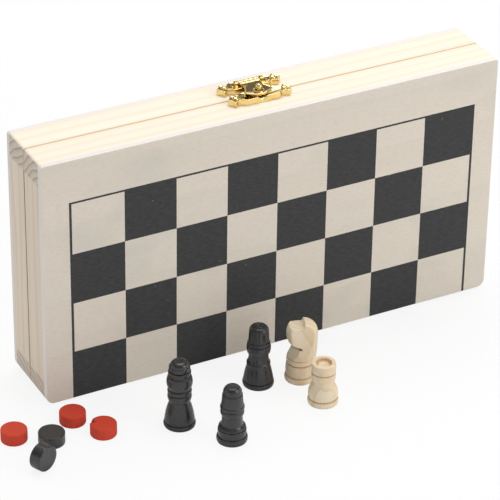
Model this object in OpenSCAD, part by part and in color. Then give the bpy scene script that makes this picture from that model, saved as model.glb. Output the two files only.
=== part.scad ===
// Folding games compendium box, closed and standing on its hinge edge, with its games.
// Two shallow pine trays with plywood panels fold together on two butt hinges, and a
// stamped hasp clasp holds them shut. Ten game pieces stand on the table in front of the
// case, and the rest of the set stands on the hinge rails inside the two trays.
// Millimetres, +Z up. The table is z = 0, and the origin is the middle of the footprint
// of everything shown.

/* [Case] */
// Height of the closed case, from the hinge edge to the clasp edge
case_h = 128; // [116:1:160]
// Thickness of the four rails of a tray
rail_t = 11.5; // [10:0.1:13]
// Thickness of the plywood panel on each tray
panel_t = 3; // [2:0.1:5]
// Gap between the rims of the closed trays
rim_gap = 0.3; // [0.2:0.05:0.8]
// Corner radius of the case outline on the clasp edge
clasp_corner_r = 1.6; // [0.8:0.1:4]
// Corner radius of the case outline on the hinge edge
hinge_corner_r = 4; // [1:0.1:6]

/* [Hinges] */
// Distance of each hinge from the middle of the case
hinge_x = 70; // [40:1:90]
// Length of a hinge along its pin
hinge_len = 22; // [16:1:30]
// Height of a leaf from the hinge axis
leaf_h = 8.5; // [6.5:0.1:9]
// Thickness of a leaf
leaf_t = 0.8; // [0.6:0.05:0.95]
// Outer radius of the hinge knuckles
knuckle_r = 1.25; // [1.15:0.05:1.4]
// Radius of the hinge pin
hinge_pin_r = 0.55; // [0.4:0.05:0.65]
// Distance of the hinge axis outside the hinge edge of the case
axis_drop = 0.15; // [0.15:0.05:0.4]
// Free gap between neighbouring knuckles
knuckle_gap = 0.2; // [0.15:0.05:0.5]
// Distance of the hinge nails from the middle of the hinge
hinge_nail_x = 7; // [5:0.1:7.5]
// Shank radius of the hinge nails
hinge_nail_r = 0.5; // [0.3:0.05:0.6]
// Head radius of the hinge nails
hinge_nail_head_r = 1; // [0.8:0.05:1.3]
// Length of the hinge nails
hinge_nail_l = 7; // [4:0.5:12]

/* [Clasp] */
// Place of the clasp along the case, from its middle
clasp_x = -1.7; // [-20:0.5:20]
// Length of each clasp plate
plate_l = 33.4; // [32:0.1:40]
// Width of each clasp plate
plate_w = 7.8; // [7.4:0.1:8]
// Height of the folded skirt round each clasp plate
plate_h = 3; // [2.4:0.1:4]
// Sheet thickness of the clasp
sheet_t = 0.7; // [0.5:0.05:0.9]
// Distance of the front plate's middle line from the parting plane
front_plate_y = 4.2; // [4.1:0.1:6]
// Distance of the rear plate's middle line from the parting plane
rear_plate_y = 7.4; // [6.4:0.1:8]
// Distance of each clasp nail from the middle of the clasp
clasp_nail_x = 12.8; // [12:0.1:14]
// Shank radius of the clasp nails
clasp_nail_r = 0.6; // [0.4:0.05:0.8]
// Head radius of the clasp nails
clasp_nail_head_r = 1.7; // [1.3:0.05:1.9]
// Length of the clasp nails below their heads
clasp_nail_l = 9; // [6:0.5:11]
// Distance of the ball stud from the parting plane
stud_y = 3; // [2.8:0.1:3.6]
// Radius of the ball on the stud
ball_r = 1.6; // [1.2:0.05:1.8]
// Radius of the stud's neck under the ball
neck_r = 1; // [0.7:0.05:1.1]
// Outer radius of the hasp's barrel
barrel_r = 1.5; // [1.3:0.05:1.7]
// Length of the hasp's barrel
barrel_l = 10.6; // [9:0.1:12]
// Radius of the hasp's pin
hasp_pin_r = 0.6; // [0.4:0.05:0.7]
// Width of the hasp across its two tips
hasp_w = 14.6; // [13.6:0.1:16]
// Distance of the hasp's front edge from the parting plane
hasp_reach = 6.6; // [6:0.1:7.5]
// Radial clearance of the hasp's hole round the ball
hasp_hole_clear = 0.5; // [0.4:0.05:0.6]

/* [Chessmen] */
// Foot radius of a king and of a queen
royal_foot_r = 7.6; // [7.2:0.05:9]
// Foot radius of a bishop
bishop_foot_r = 7.35; // [7:0.05:9]
// Foot radius of a knight
knight_foot_r = 7.4; // [7:0.05:9]
// Foot radius of a rook
rook_foot_r = 7.4; // [7:0.05:9]
// Foot radius of a pawn
pawn_foot_r = 6.4; // [6:0.05:8]
// Height of a king
king_h = 35.2; // [33.5:0.1:42]
// Height of a queen
queen_h = 32.7; // [31:0.1:38]
// Height of a bishop
bishop_h = 29.4; // [27.6:0.1:36]
// Height of a knight
knight_h = 32.2; // [31:0.1:38]
// Height of a rook
rook_h = 21.9; // [19.7:0.1:26]
// Height of a pawn
pawn_h = 22; // [20.5:0.1:26]
// Radius of the hollow in a rook's top
rook_hollow_r = 3.9; // [3:0.1:5]
// Thickness of a knight's head at its forehead
knight_head_t = 8.7; // [7:0.1:11]
// Distance from a knight's axis back to its mane
mane_x = 8.1; // [7.8:0.1:10]
// Distance from a knight's axis forward to its muzzle
muzzle_x = 6.9; // [5.8:0.1:7.4]

/* [Draughts and dice] */
// Radius of a draughtsman
draught_r = 6.3; // [5.5:0.1:7.4]
// Thickness of a draughtsman
draught_t = 5.9; // [4.5:0.1:6.5]
// Edge length of a die
die_w = 9; // [8:0.1:10]
// Radius of a die's drilled pips
pip_r = 0.8; // [0.5:0.05:1]

/* [Storage] */
// Free space between stored pieces, and between them and the case
store_gap = 0.25; // [0.15:0.05:0.5]
// Length left free at the right end of the longest row
row_spare = 5; // [0.5:0.1:60]
// Depth left free between the widest foot and the rim of its tray
rim_spare = 0.3; // [0.1:0.05:8]

/* [Hidden] */
$fn = 48;
eps = 0.01;

// Colours
pine = [0.93, 0.83, 0.66];
ply = [0.85, 0.79, 0.68];
brass = [0.85, 0.65, 0.25];
black_paint = [0.13, 0.13, 0.13];
red_paint = [0.80, 0.20, 0.13];
bare_wood = [0.90, 0.80, 0.62];
bone = [0.93, 0.90, 0.84];

// The rest of the set stands in two rows on the hinge rails, one row in each tray: a stack of
// draughtsmen, the dice, the larger men and the pawns, from the left
front_men = 5;
rear_men = 6;
pawns = 8;
// A knight's head is turned too, about an axis of its own behind the foot's
knight_head_r = (mane_x + muzzle_x) / 2;
knight_head_back = (mane_x - muzzle_x) / 2;
knight_front_x = max(knight_foot_r, muzzle_x);
knight_r = max(knight_foot_r, knight_head_r);
widest_man_r = max(royal_foot_r, bishop_foot_r, knight_r, rook_foot_r);
stack_w = 2 * draught_r + store_gap;
die_slot_w = die_w + store_gap;
man_pitch = max(2 * widest_man_r, knight_front_x + mane_x) + store_gap;
pawn_pitch = 2 * pawn_foot_r + store_gap;
front_row_l = store_gap + stack_w + die_slot_w + front_men * man_pitch + pawns * pawn_pitch;
rear_row_l = store_gap + stack_w + rear_men * man_pitch + pawns * pawn_pitch;

// The case is as long and as deep as its rows need
inner_l = max(front_row_l, rear_row_l) + row_spare;
case_l = inner_l + 2 * rail_t;
rail_d = 2 * max(widest_man_r, pawn_foot_r, draught_r) + 2 * store_gap + rim_spare;

// Levels of the standing case: its hinge knuckles rest on the table
axis_z = knuckle_r;
case_z0 = axis_z + axis_drop;
case_z1 = case_z0 + case_h;
rim_y = rim_gap / 2;
tray_d = rail_d + panel_t;
case_y = rim_y + tray_d;
shelf_z = case_z0 + rail_t;

// Places of the loose pieces, from the middle of the case, as [x, y]
king_at = [-70.2, -58.4];
queen_at = [-21.6, -44.5];
bishop_at = [-54, -80.3];
knight_at = [-1.7, -49.3];
rook_at = [-1.4, -71.7];
red_left_at = [-144.1, -35.7];
red_back_at = [-114, -34.6];
red_right_at = [-105.2, -49.8];
black_flat_at = [-129.5, -45.5];
on_edge_at = [-141.3, -62.6];
// Way that the faces of the draughtsman on its edge look, and that the mane of the knight does
edge_heading = -64.3;
knight_heading = -20;

// The origin is the middle of the footprint of the case and the loose pieces
origin_x = (red_left_at[0] - draught_r + case_l / 2) / 2;
origin_y = (bishop_at[1] - bishop_foot_r + case_y) / 2;

// Clearances of the fittings
pin_clear = 0.05;
hole_clear = 0.05;
leaf_clear = 0.1;
knuckle_clear = 0.25;
hinge_pin_hole_r = hinge_pin_r + pin_clear;
hasp_lift = 0.3;
pin_short = 0.3;
window_clear = 0.4;
ear_l = 1.8;
ear_gap = 0.2;
head_dome_h = 0.95;
barrel_z = case_z1 + plate_h + 0.4;
hasp_z = case_z1 + plate_h + hasp_lift;
ball_z = hasp_z + sheet_t + ball_r + 0.1;
hole_r = ball_r + hasp_hole_clear;
collar_w = 0.5;
collar_h = 0.45;
side_segments = 6;

// Points from a0 to a1 degrees on a circle of radius r about c
function arc(c, r, a0, a1, n = side_segments) =
  [for (i = [0:n]) c + r * [cos(a0 + (a1 - a0) * i / n), sin(a0 + (a1 - a0) * i / n)]];

// Points from p to q on a curve that bows out by h to the right of the way from p to q
function bow(p, q, h, n = side_segments) =
  let (d = q - p, side = [d[1], -d[0]] / norm(d))
  [for (i = [0:n]) let (t = i / n) p + d * t + side * h * 4 * t * (1 - t)];

// Points on a quarter ellipse from the rim [r, z0] up to the axis at z1
function dome(r, z0, z1, n = 8) =
  [for (i = [0:n]) [r * cos(90 * i / n), z0 + (z1 - z0) * sin(90 * i / n)]];

module in_row_frame() {
  translate([-origin_x, -origin_y, 0]) children();
}

// Mirrors what is drawn for the rear tray, y > 0, to the front tray
module front_side() {
  mirror([0, 1, 0]) children();
}

// Extrudes an outline drawn in x and z from y0 to y1
module extrude_y(y0, y1) {
  translate([0, y1, 0]) rotate([90, 0, 0]) linear_extrude(height = y1 - y0) children();
}

// Case

module case_outline() {
  half = case_l / 2;
  polygon(concat(
    arc([half - clasp_corner_r, case_z1 - clasp_corner_r], clasp_corner_r, 0, 90),
    arc([-half + clasp_corner_r, case_z1 - clasp_corner_r], clasp_corner_r, 90, 180),
    arc([-half + hinge_corner_r, case_z0 + hinge_corner_r], hinge_corner_r, 180, 270),
    arc([half - hinge_corner_r, case_z0 + hinge_corner_r], hinge_corner_r, 270, 360)
  ));
}

module tray_panel() {
  color(ply) extrude_y(rim_y + rail_d, case_y) case_outline();
}

module long_rail_blank(z) {
  extrude_y(rim_y, rim_y + rail_d) intersection() {
    case_outline();
    translate([-case_l / 2 - eps, z]) square([case_l + 2 * eps, rail_t]);
  }
}

module clasp_nail_holes(plate_y) {
  for (side = [-1, 1])
    translate([clasp_x + side * clasp_nail_x, plate_y, case_z1 - clasp_nail_l])
      cylinder(r = clasp_nail_r + hole_clear, h = clasp_nail_l + eps);
}

module clasp_rail(plate_y) {
  color(pine) difference() {
    long_rail_blank(case_z1 - rail_t);
    clasp_nail_holes(plate_y);
  }
}

module hinge_mortise() {
  len = hinge_len + 2 * leaf_clear;
  translate([-len / 2, 0, case_z0 - eps])
    cube([len, rim_y + leaf_t, leaf_h - axis_drop + leaf_clear + eps]);
  translate([-len / 2, 0, axis_z]) rotate([0, 90, 0])
    cylinder(r = knuckle_r + knuckle_clear, h = len);
  for (side = [-1, 1])
    translate([side * hinge_nail_x, 0, leaf_nail_z]) rotate([-90, 0, 0])
      cylinder(r = hinge_nail_r + hole_clear, h = rim_y + hinge_nail_l + hole_clear);
}

module hinge_rail() {
  color(pine) difference() {
    long_rail_blank(case_z0);
    for (side = [-1, 1]) translate([side * hinge_x, 0, 0]) hinge_mortise();
  }
}

module short_rail(side) {
  color(pine)
    translate([side > 0 ? case_l / 2 - rail_t : -case_l / 2, rim_y, shelf_z])
      cube([rail_t, rail_d, case_h - 2 * rail_t]);
}

// Hinges

leaf_nail_z = axis_z + (leaf_h + knuckle_r) / 2;
// Ends of the knuckles along the pin: two on the front leaf with one on the rear leaf between
knuckle_l = (hinge_len - 2 * knuckle_gap) / 3;
front_knuckles = [-hinge_len / 2, hinge_len / 2 - knuckle_l];
rear_knuckles = [-knuckle_l / 2];

// A leaf standing in its mortise at y > 0, with its knuckles at the given starts
module hinge_leaf(own, others) {
  color(brass) difference() {
    union() {
      translate([-hinge_len / 2, rim_y, axis_z]) cube([hinge_len, leaf_t, leaf_h]);
      for (x = own)
        translate([x, 0, axis_z]) rotate([0, 90, 0]) cylinder(r = knuckle_r, h = knuckle_l);
    }
    for (x = others)
      translate([x - knuckle_gap, 0, axis_z]) rotate([0, 90, 0])
        cylinder(r = knuckle_r + knuckle_gap, h = knuckle_l + 2 * knuckle_gap);
    translate([-hinge_len, 0, axis_z]) rotate([0, 90, 0])
      cylinder(r = hinge_pin_hole_r, h = 2 * hinge_len);
    for (side = [-1, 1]) translate([side * hinge_nail_x, rim_y, leaf_nail_z]) rotate([-90, 0, 0]) {
      translate([0, 0, -eps]) cylinder(r = hinge_nail_r + hole_clear, h = leaf_t + 2 * eps);
      translate([0, 0, -eps])
        cylinder(r1 = hinge_nail_head_r + hole_clear, r2 = hinge_nail_r + hole_clear, h = leaf_t / 2);
    }
  }
}

module hinge_pin() {
  color(brass) translate([-hinge_len / 2, 0, axis_z]) rotate([0, 90, 0])
    cylinder(r = hinge_pin_r, h = hinge_len);
}

// Countersunk nails of one leaf, flush with its face
module hinge_nails() {
  color(brass) for (side = [-1, 1])
    translate([side * hinge_nail_x, rim_y, leaf_nail_z]) rotate([-90, 0, 0])
      rotate_extrude() polygon([
        [0, 0], [hinge_nail_head_r, 0], [hinge_nail_r, leaf_t / 2],
        [hinge_nail_r, hinge_nail_l - 1], [0, hinge_nail_l]
      ]);
}

// Clasp

// Scalloped outline of a clasp plate, drawn inwards by inset
module plate_outline(inset) {
  half_l = plate_l / 2;
  half_w = plate_w / 2;
  difference() {
    square([plate_l - 2 * inset, plate_w - 2 * inset], center = true);
    for (sx = [-1, 1], sy = [-1, 1]) {
      translate([sx * (half_l - 5.2), sy * (half_w + 1.7)]) circle(r = 2.9 + inset);
      translate([sx * (half_l + 0.9), sy * (half_w + 0.3)]) circle(r = 3.2 + inset);
    }
  }
}

// A stamped plate: a flat top with its skirt folded down to the wood
module clasp_plate_shell() {
  difference() {
    linear_extrude(height = plate_h) plate_outline(0);
    translate([0, 0, -eps]) linear_extrude(height = plate_h - sheet_t + eps) plate_outline(sheet_t);
    for (side = [-1, 1]) translate([side * clasp_nail_x, 0, 0])
      cylinder(r = clasp_nail_r + hole_clear, h = plate_h + eps);
  }
}

module clasp_nails(plate_y) {
  color(brass) for (side = [-1, 1])
    translate([clasp_x + side * clasp_nail_x, plate_y, case_z1])
      rotate_extrude() polygon(concat(
        [[0, 1 - clasp_nail_l], [clasp_nail_r, 2 - clasp_nail_l], [clasp_nail_r, plate_h]],
        dome(clasp_nail_head_r, plate_h, plate_h + head_dome_h)
      ));
}

module clasp_front_plate() {
  color(brass) translate([clasp_x, -front_plate_y, case_z1]) difference() {
    clasp_plate_shell();
    translate([0, front_plate_y - stud_y, 0])
      cylinder(r = neck_r + hole_clear, h = plate_h + eps);
  }
}

// Ball stud, riveted through the front plate
module clasp_ball_stud() {
  color(brass) translate([clasp_x, -stud_y, 0]) {
    translate([0, 0, case_z1 + plate_h - sheet_t - 0.5]) cylinder(r = neck_r + 0.6, h = 0.5);
    translate([0, 0, case_z1 + plate_h - sheet_t - eps])
      cylinder(r = neck_r, h = ball_z - case_z1 - plate_h + sheet_t);
    translate([0, 0, ball_z]) sphere(r = ball_r);
  }
}

module clasp_rear_plate() {
  ear_x = barrel_l / 2 + ear_gap;
  color(brass) translate([clasp_x, 0, 0]) difference() {
    union() {
      translate([0, rear_plate_y, case_z1]) clasp_plate_shell();
      for (side = [-1, 1])
        translate([side > 0 ? ear_x : -ear_x - ear_l, rear_plate_y, barrel_z]) rotate([0, 90, 0])
          cylinder(r = barrel_r, h = ear_l);
    }
    translate([-ear_x, rear_plate_y - barrel_r - window_clear, case_z1 + eps])
      cube([2 * ear_x, 2 * (barrel_r + window_clear), plate_h + 2 * barrel_r]);
    translate([-plate_l / 2, rear_plate_y, barrel_z]) rotate([0, 90, 0])
      cylinder(r = hasp_pin_r + pin_clear, h = plate_l);
  }
}

module clasp_pin() {
  half = barrel_l / 2 + ear_gap + ear_l - pin_short;
  color(brass) translate([clasp_x - half, rear_plate_y, barrel_z]) rotate([0, 90, 0])
    cylinder(r = hasp_pin_r, h = 2 * half);
}

// Outline of the hasp in plan: from the barrel it narrows, widens to two tips and ends in a bow
module hasp_outline() {
  root = barrel_l / 2;
  waist = root - 0.5;
  tip = hasp_w / 2;
  tip_y = -stud_y - 1.4;
  polygon(concat(
    bow([root, rear_plate_y], [waist, 2.4], 0.1),
    bow([waist, 2.4], [tip, tip_y], 0.15),
    bow([tip, tip_y], [0, -hasp_reach], -0.5),
    bow([0, -hasp_reach], [-tip, tip_y], -0.5),
    bow([-tip, tip_y], [-waist, 2.4], 0.15),
    bow([-waist, 2.4], [-root, rear_plate_y], 0.1)
  ));
}

module clasp_hasp() {
  color(brass) translate([clasp_x, 0, 0]) difference() {
    union() {
      translate([0, 0, hasp_z]) linear_extrude(height = sheet_t) hasp_outline();
      translate([-barrel_l / 2, rear_plate_y, barrel_z]) rotate([0, 90, 0])
        cylinder(r = barrel_r, h = barrel_l);
      translate([0, -stud_y, hasp_z]) cylinder(r = hole_r + collar_w, h = sheet_t + collar_h);
    }
    translate([-barrel_l, rear_plate_y, barrel_z]) rotate([0, 90, 0])
      cylinder(r = hasp_pin_r + pin_clear, h = 2 * barrel_l);
    translate([0, -stud_y, hasp_z - eps])
      cylinder(r = hole_r, h = sheet_t + collar_h + 2 * eps);
  }
}

// Chessmen, turned: each profile is a list of [radius, height]

foot_round = 0.3;
// The foot disc of every chessman, up to the groove over it
function foot(r, h) = concat(
  [[0, 0]],
  bow([r - foot_round, 0], [r - foot_round, h], foot_round),
  [[r - 0.7, h + 0.2]]
);

function king_profile() = concat(
  foot(royal_foot_r, 2.3),
  bow([royal_foot_r - 0.45, 2.8], [4.95, 12.9], 0.35),
  [[4.85, 14.2]],
  bow([5.4, 14.45], [5.5, 17.5], 0.25),
  [[5.05, 17.8]],
  bow([5.5, 18.1], [5.5, 20.1], 0.2),
  [[5.05, 20.4]],
  bow([5.4, 20.7], [5.6, 26.9], 0.6),
  [[4.9, 27.4], [4.9, 28.2]],
  bow([5.25, 28.5], [5.2, 29.9], 0.15),
  [[4.5, 30.2]],
  bow([4.9, 30.5], [4.9, 32.5], 0.12),
  [[4.6, 32.75]],
  bow([4.5, 32.8], [1.1, king_h - 0.1], 0.9),
  [[0, king_h]]
);

function queen_profile() = concat(
  foot(royal_foot_r, 2.6),
  bow([royal_foot_r - 0.35, 3.1], [5.66, 10.6], 0.1),
  [[5.7, 12.5], [5.4, 12.8], [5.05, 13.6], [4.8, 15], [4.75, 18]],
  bow([5.5, 18.25], [5.7, 22.1], 0.25),
  [[5.2, 22.4]],
  bow([5.5, 22.7], [5.3, 23.8], 0.1),
  [[4.75, 24.1]],
  bow([5, 24.4], [4.6, queen_h - 1.9], 0.1),
  [[4.25, queen_h - 1.6]],
  bow([4.3, queen_h - 1.4], [2.1, queen_h - 0.5], 0.4),
  [[1.6, queen_h], [0, queen_h]]
);

function bishop_profile() = concat(
  foot(bishop_foot_r, 2.9),
  bow([bishop_foot_r - 0.7, 3.4], [bishop_foot_r - 0.7, 6.7], 0.1),
  [[6.1, 6.9]],
  bow([6.3, 7.1], [6.3, 8], 0.08, 4),
  [[5.8, 8.4], [5, 9.2], [4.8, 14.3]],
  bow([5.3, 14.6], [5.3, 17.2], 0.3),
  [[5.1, 17.45]],
  bow([5.6, 17.7], [5.5, 19.3], 0.15),
  [[5.2, 19.55], [4.75, 25.2], [4.25, 25.5], [4.2, 26.8]],
  bow([4.4, 27], [3.3, bishop_h - 0.4], 0.12, 4),
  [[2.6, bishop_h], [0, bishop_h]]
);

function rook_profile() = concat(
  foot(rook_foot_r, 2.8),
  bow([rook_foot_r - 0.5, 3.3], [rook_foot_r - 0.5, 7.2], 0.2),
  [[6.5, 8.3], [5.9, 9.6], [5.3, 10.8], [5.05, 11.6], [5.05, 12.5]],
  bow([5.6, 12.7], [5.75, 16.6], 0.15),
  [[5.4, 16.95]],
  bow([5.75, 17.25], [5.7, rook_h - 0.2], 0.1),
  [[5.5, rook_h], [rook_hollow_r, rook_h], [rook_hollow_r - 0.4, rook_h - 1.5], [0, rook_h - 1.9]]
);

function pawn_profile() = concat(
  foot(pawn_foot_r, 2.8),
  bow([pawn_foot_r - 0.4, 3.3], [3.5, 10], -0.5),
  bow([4, 10.3], [4, 12.6], 0.5),
  [[3, 12.9]],
  bow([3.1, 13.3], [0.9, pawn_h - 0.1], 2.3, 10),
  [[0, pawn_h]]
);

// A knight's turned foot and rings, up to its carved head
head_z = 12.4;
head_ring_r = 6.5;
function knight_profile() = concat(
  foot(knight_foot_r, 2.9),
  bow([knight_foot_r - 0.7, 3.2], [knight_foot_r - 0.8, 9.4], 0.3),
  [[6, 9.6]],
  bow([head_ring_r - 0.1, 9.8], [head_ring_r, head_z], 0.15),
  [[0, head_z]]
);

module turned(profile) {
  rotate_extrude() polygon(profile);
}

// A knight's head as it is turned, with a neck that stays inside the ring under it
head_neck_r = head_ring_r - knight_head_back - 0.1;
function head_profile() = concat(
  [[0, head_z - 1], [head_neck_r, head_z - 1], [head_neck_r, head_z + 0.1],
   [knight_head_r - 0.9, head_z + 0.3]],
  bow([knight_head_r - 0.55, head_z + 0.6], [knight_head_r, head_z + 9], 0.1),
  bow([knight_head_r, knight_h - 6.5], [2, knight_h], 1.9, 8),
  [[0, knight_h]]
);

// What is cut off the head, which faces -X: a slanting cheek on each side, the top of the forehead
// and the mouth
mouth_z = 19.8;
forehead_z = knight_h - 2.3;
cheek_lean = 0.1845;
cheek_turn = 3.6;
cut_reach = 2 * mane_x;

module cheek_cut(side) {
  low_z = head_z - 2;
  high_z = knight_h + 1;
  function cheek_y(z) = side * (knight_head_t / 2 + cheek_lean * (forehead_z - z));
  rotate([0, 0, side * cheek_turn]) rotate([90, 0, 90]) translate([0, 0, -cut_reach])
    linear_extrude(height = 2 * cut_reach) polygon([
      [cheek_y(low_z), low_z], [side * cut_reach, low_z],
      [side * cut_reach, high_z], [cheek_y(high_z), high_z]
    ]);
}

module profile_cut(outline) {
  translate([0, cut_reach, 0]) rotate([90, 0, 0])
    linear_extrude(height = 2 * cut_reach) polygon(outline);
}

module knight() {
  union() {
    turned(knight_profile());
    difference() {
      translate([knight_head_back, 0, 0]) turned(head_profile());
      cheek_cut(-1);
      cheek_cut(1);
      profile_cut([
        [-cut_reach, forehead_z], [0.9, forehead_z], [1.9, knight_h + 1], [-cut_reach, knight_h + 1]
      ]);
      profile_cut([
        [0, mouth_z], [2.1 - muzzle_x, mouth_z + 1.9], [0.7 - muzzle_x, mouth_z + 2.9],
        [-muzzle_x - 0.05, mouth_z + 4.6], [-cut_reach, mouth_z + 4.6], [-cut_reach, mouth_z - 5.2],
        [0.1 - muzzle_x, mouth_z - 5.2], [2 - muzzle_x, mouth_z - 1.9]
      ]);
    }
  }
}

// Draughtsmen and dice

draught_edge = 0.35;
module draught() {
  rotate_extrude() polygon([
    [0, 0], [draught_r - draught_edge, 0], [draught_r, draught_edge],
    [draught_r, draught_t - draught_edge], [draught_r - draught_edge, draught_t], [0, draught_t]
  ]);
}

// Pips of one face, as places in units of the pip spacing
pip_faces = [
  [[0, 0]],
  [[-1, -1], [1, 1]],
  [[-1, -1], [0, 0], [1, 1]],
  [[-1, -1], [-1, 1], [1, -1], [1, 1]],
  [[-1, -1], [-1, 1], [0, 0], [1, -1], [1, 1]],
  [[-1, -1], [-1, 0], [-1, 1], [1, -1], [1, 0], [1, 1]]
];
pip_turns = [[0, 0, 0], [90, 0, 0], [0, 90, 0], [0, -90, 0], [-90, 0, 0], [180, 0, 0]];
pip_pitch = die_w / 4;
pip_depth = 0.35;

module die() {
  translate([0, 0, die_w / 2]) difference() {
    intersection() {
      cube(die_w, center = true);
      sphere(r = die_w * 0.74);
    }
    for (f = [0:5], p = pip_faces[f])
      rotate(pip_turns[f]) translate([p[0] * pip_pitch, p[1] * pip_pitch, die_w / 2 - pip_depth])
        cylinder(r = pip_r, h = pip_depth + eps, $fn = 16);
  }
}

// Loose pieces on the table

module on_table(at, heading = 0) {
  translate([at[0], at[1], 0]) rotate([0, 0, heading]) children();
}

module draught_on_edge() {
  translate([on_edge_at[0], on_edge_at[1], draught_r]) rotate([0, 90, edge_heading])
    translate([0, 0, -draught_t / 2]) draught();
}

// Stored pieces, with their feet next to the panel of their tray

panel_in_y = rim_y + rail_d;
stack_gap = 0.03;
store_x0 = -inner_l / 2 + store_gap;
front_men_x = store_x0 + stack_w + die_slot_w;
rear_men_x = store_x0 + stack_w;

// Middle of the nth man's slot in a row that starts at x
function man_x(x, n) = x + man_pitch * (n + 0.5);
function pawn_x(x, men, n) = x + man_pitch * men + pawn_pitch * (n + 0.5);

module stored(x, foot_r, front) {
  translate([x, (front ? -1 : 1) * (panel_in_y - store_gap - foot_r), shelf_z]) children();
}

module stored_knight(slot_x, front) {
  stored(slot_x - (mane_x - knight_front_x) / 2, knight_r, front) knight();
}

module draught_stack(count, front) {
  stored(store_x0 + draught_r, draught_r, front)
    for (i = [0:count - 1]) translate([0, 0, i * (draught_t + stack_gap)]) draught();
}

in_row_frame() front_side() tray_panel();  // front_panel
in_row_frame() front_side() clasp_rail(front_plate_y);  // front_clasp_rail
in_row_frame() front_side() hinge_rail();  // front_hinge_rail
in_row_frame() front_side() short_rail(-1);  // front_left_rail
in_row_frame() front_side() short_rail(1);  // front_right_rail
in_row_frame() tray_panel();  // rear_panel
in_row_frame() clasp_rail(rear_plate_y);  // rear_clasp_rail
in_row_frame() hinge_rail();  // rear_hinge_rail
in_row_frame() short_rail(-1);  // rear_left_rail
in_row_frame() short_rail(1);  // rear_right_rail

in_row_frame() translate([-hinge_x, 0, 0]) front_side() hinge_leaf(front_knuckles, rear_knuckles);  // left_hinge_front_leaf
in_row_frame() translate([-hinge_x, 0, 0]) hinge_leaf(rear_knuckles, front_knuckles);  // left_hinge_rear_leaf
in_row_frame() translate([-hinge_x, 0, 0]) hinge_pin();  // left_hinge_pin
in_row_frame() translate([-hinge_x, 0, 0]) front_side() hinge_nails();  // left_hinge_front_nails
in_row_frame() translate([-hinge_x, 0, 0]) hinge_nails();  // left_hinge_rear_nails
in_row_frame() translate([hinge_x, 0, 0]) front_side() hinge_leaf(front_knuckles, rear_knuckles);  // right_hinge_front_leaf
in_row_frame() translate([hinge_x, 0, 0]) hinge_leaf(rear_knuckles, front_knuckles);  // right_hinge_rear_leaf
in_row_frame() translate([hinge_x, 0, 0]) hinge_pin();  // right_hinge_pin
in_row_frame() translate([hinge_x, 0, 0]) front_side() hinge_nails();  // right_hinge_front_nails
in_row_frame() translate([hinge_x, 0, 0]) hinge_nails();  // right_hinge_rear_nails

in_row_frame() clasp_front_plate();
in_row_frame() clasp_ball_stud();
in_row_frame() clasp_nails(-front_plate_y);  // clasp_front_nails
in_row_frame() clasp_rear_plate();
in_row_frame() clasp_nails(rear_plate_y);  // clasp_rear_nails
in_row_frame() clasp_pin();
in_row_frame() clasp_hasp();

color(black_paint) in_row_frame() on_table(king_at) turned(king_profile());  // black_king
color(black_paint) in_row_frame() on_table(queen_at) turned(queen_profile());  // black_queen
color(black_paint) in_row_frame() on_table(bishop_at) turned(bishop_profile());  // black_bishop
color(bare_wood) in_row_frame() on_table(knight_at, knight_heading) knight();  // natural_knight
color(bare_wood) in_row_frame() on_table(rook_at) turned(rook_profile());  // natural_rook
color(red_paint) in_row_frame() on_table(red_left_at) draught();  // red_draught_left
color(red_paint) in_row_frame() on_table(red_back_at) draught();  // red_draught_back
color(red_paint) in_row_frame() on_table(red_right_at) draught();  // red_draught_right
color(black_paint) in_row_frame() on_table(black_flat_at) draught();  // black_draught_flat
color(black_paint) in_row_frame() draught_on_edge();  // black_draught_on_edge

color(black_paint) in_row_frame() draught_stack(13, true);  // stored_black_draughts
color(bone) in_row_frame() stored(store_x0 + stack_w + die_w / 2, die_w / 2, true)  // stored_dice
    for (i = [0:1]) translate([0, 0, i * (die_w + stack_gap)]) die();
color(black_paint) in_row_frame()  // stored_black_bishop
    stored(man_x(front_men_x, 0), bishop_foot_r, true) turned(bishop_profile());
color(black_paint) in_row_frame()  // stored_black_knights
    for (n = [1:2]) stored_knight(man_x(front_men_x, n), true);
color(black_paint) in_row_frame()  // stored_black_rooks
    for (n = [3:4]) stored(man_x(front_men_x, n), rook_foot_r, true) turned(rook_profile());
color(black_paint) in_row_frame()  // stored_black_pawns
    for (n = [0:pawns - 1])
      stored(pawn_x(front_men_x, front_men, n), pawn_foot_r, true) turned(pawn_profile());

color(red_paint) in_row_frame() draught_stack(12, false);  // stored_red_draughts
color(bare_wood) in_row_frame()  // stored_natural_king
    stored(man_x(rear_men_x, 0), royal_foot_r, false) turned(king_profile());
color(bare_wood) in_row_frame()  // stored_natural_queen
    stored(man_x(rear_men_x, 1), royal_foot_r, false) turned(queen_profile());
color(bare_wood) in_row_frame()  // stored_natural_bishops
    for (n = [2:3]) stored(man_x(rear_men_x, n), bishop_foot_r, false) turned(bishop_profile());
color(bare_wood) in_row_frame() stored_knight(man_x(rear_men_x, 4), false);  // stored_natural_knight
color(bare_wood) in_row_frame()  // stored_natural_rook
    stored(man_x(rear_men_x, 5), rook_foot_r, false) turned(rook_profile());
color(bare_wood) in_row_frame()  // stored_natural_pawns
    for (n = [0:pawns - 1])
      stored(pawn_x(rear_men_x, rear_men, n), pawn_foot_r, false) turned(pawn_profile());
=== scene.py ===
import math

import bmesh
import bpy
from mathutils import Matrix, Vector


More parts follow.
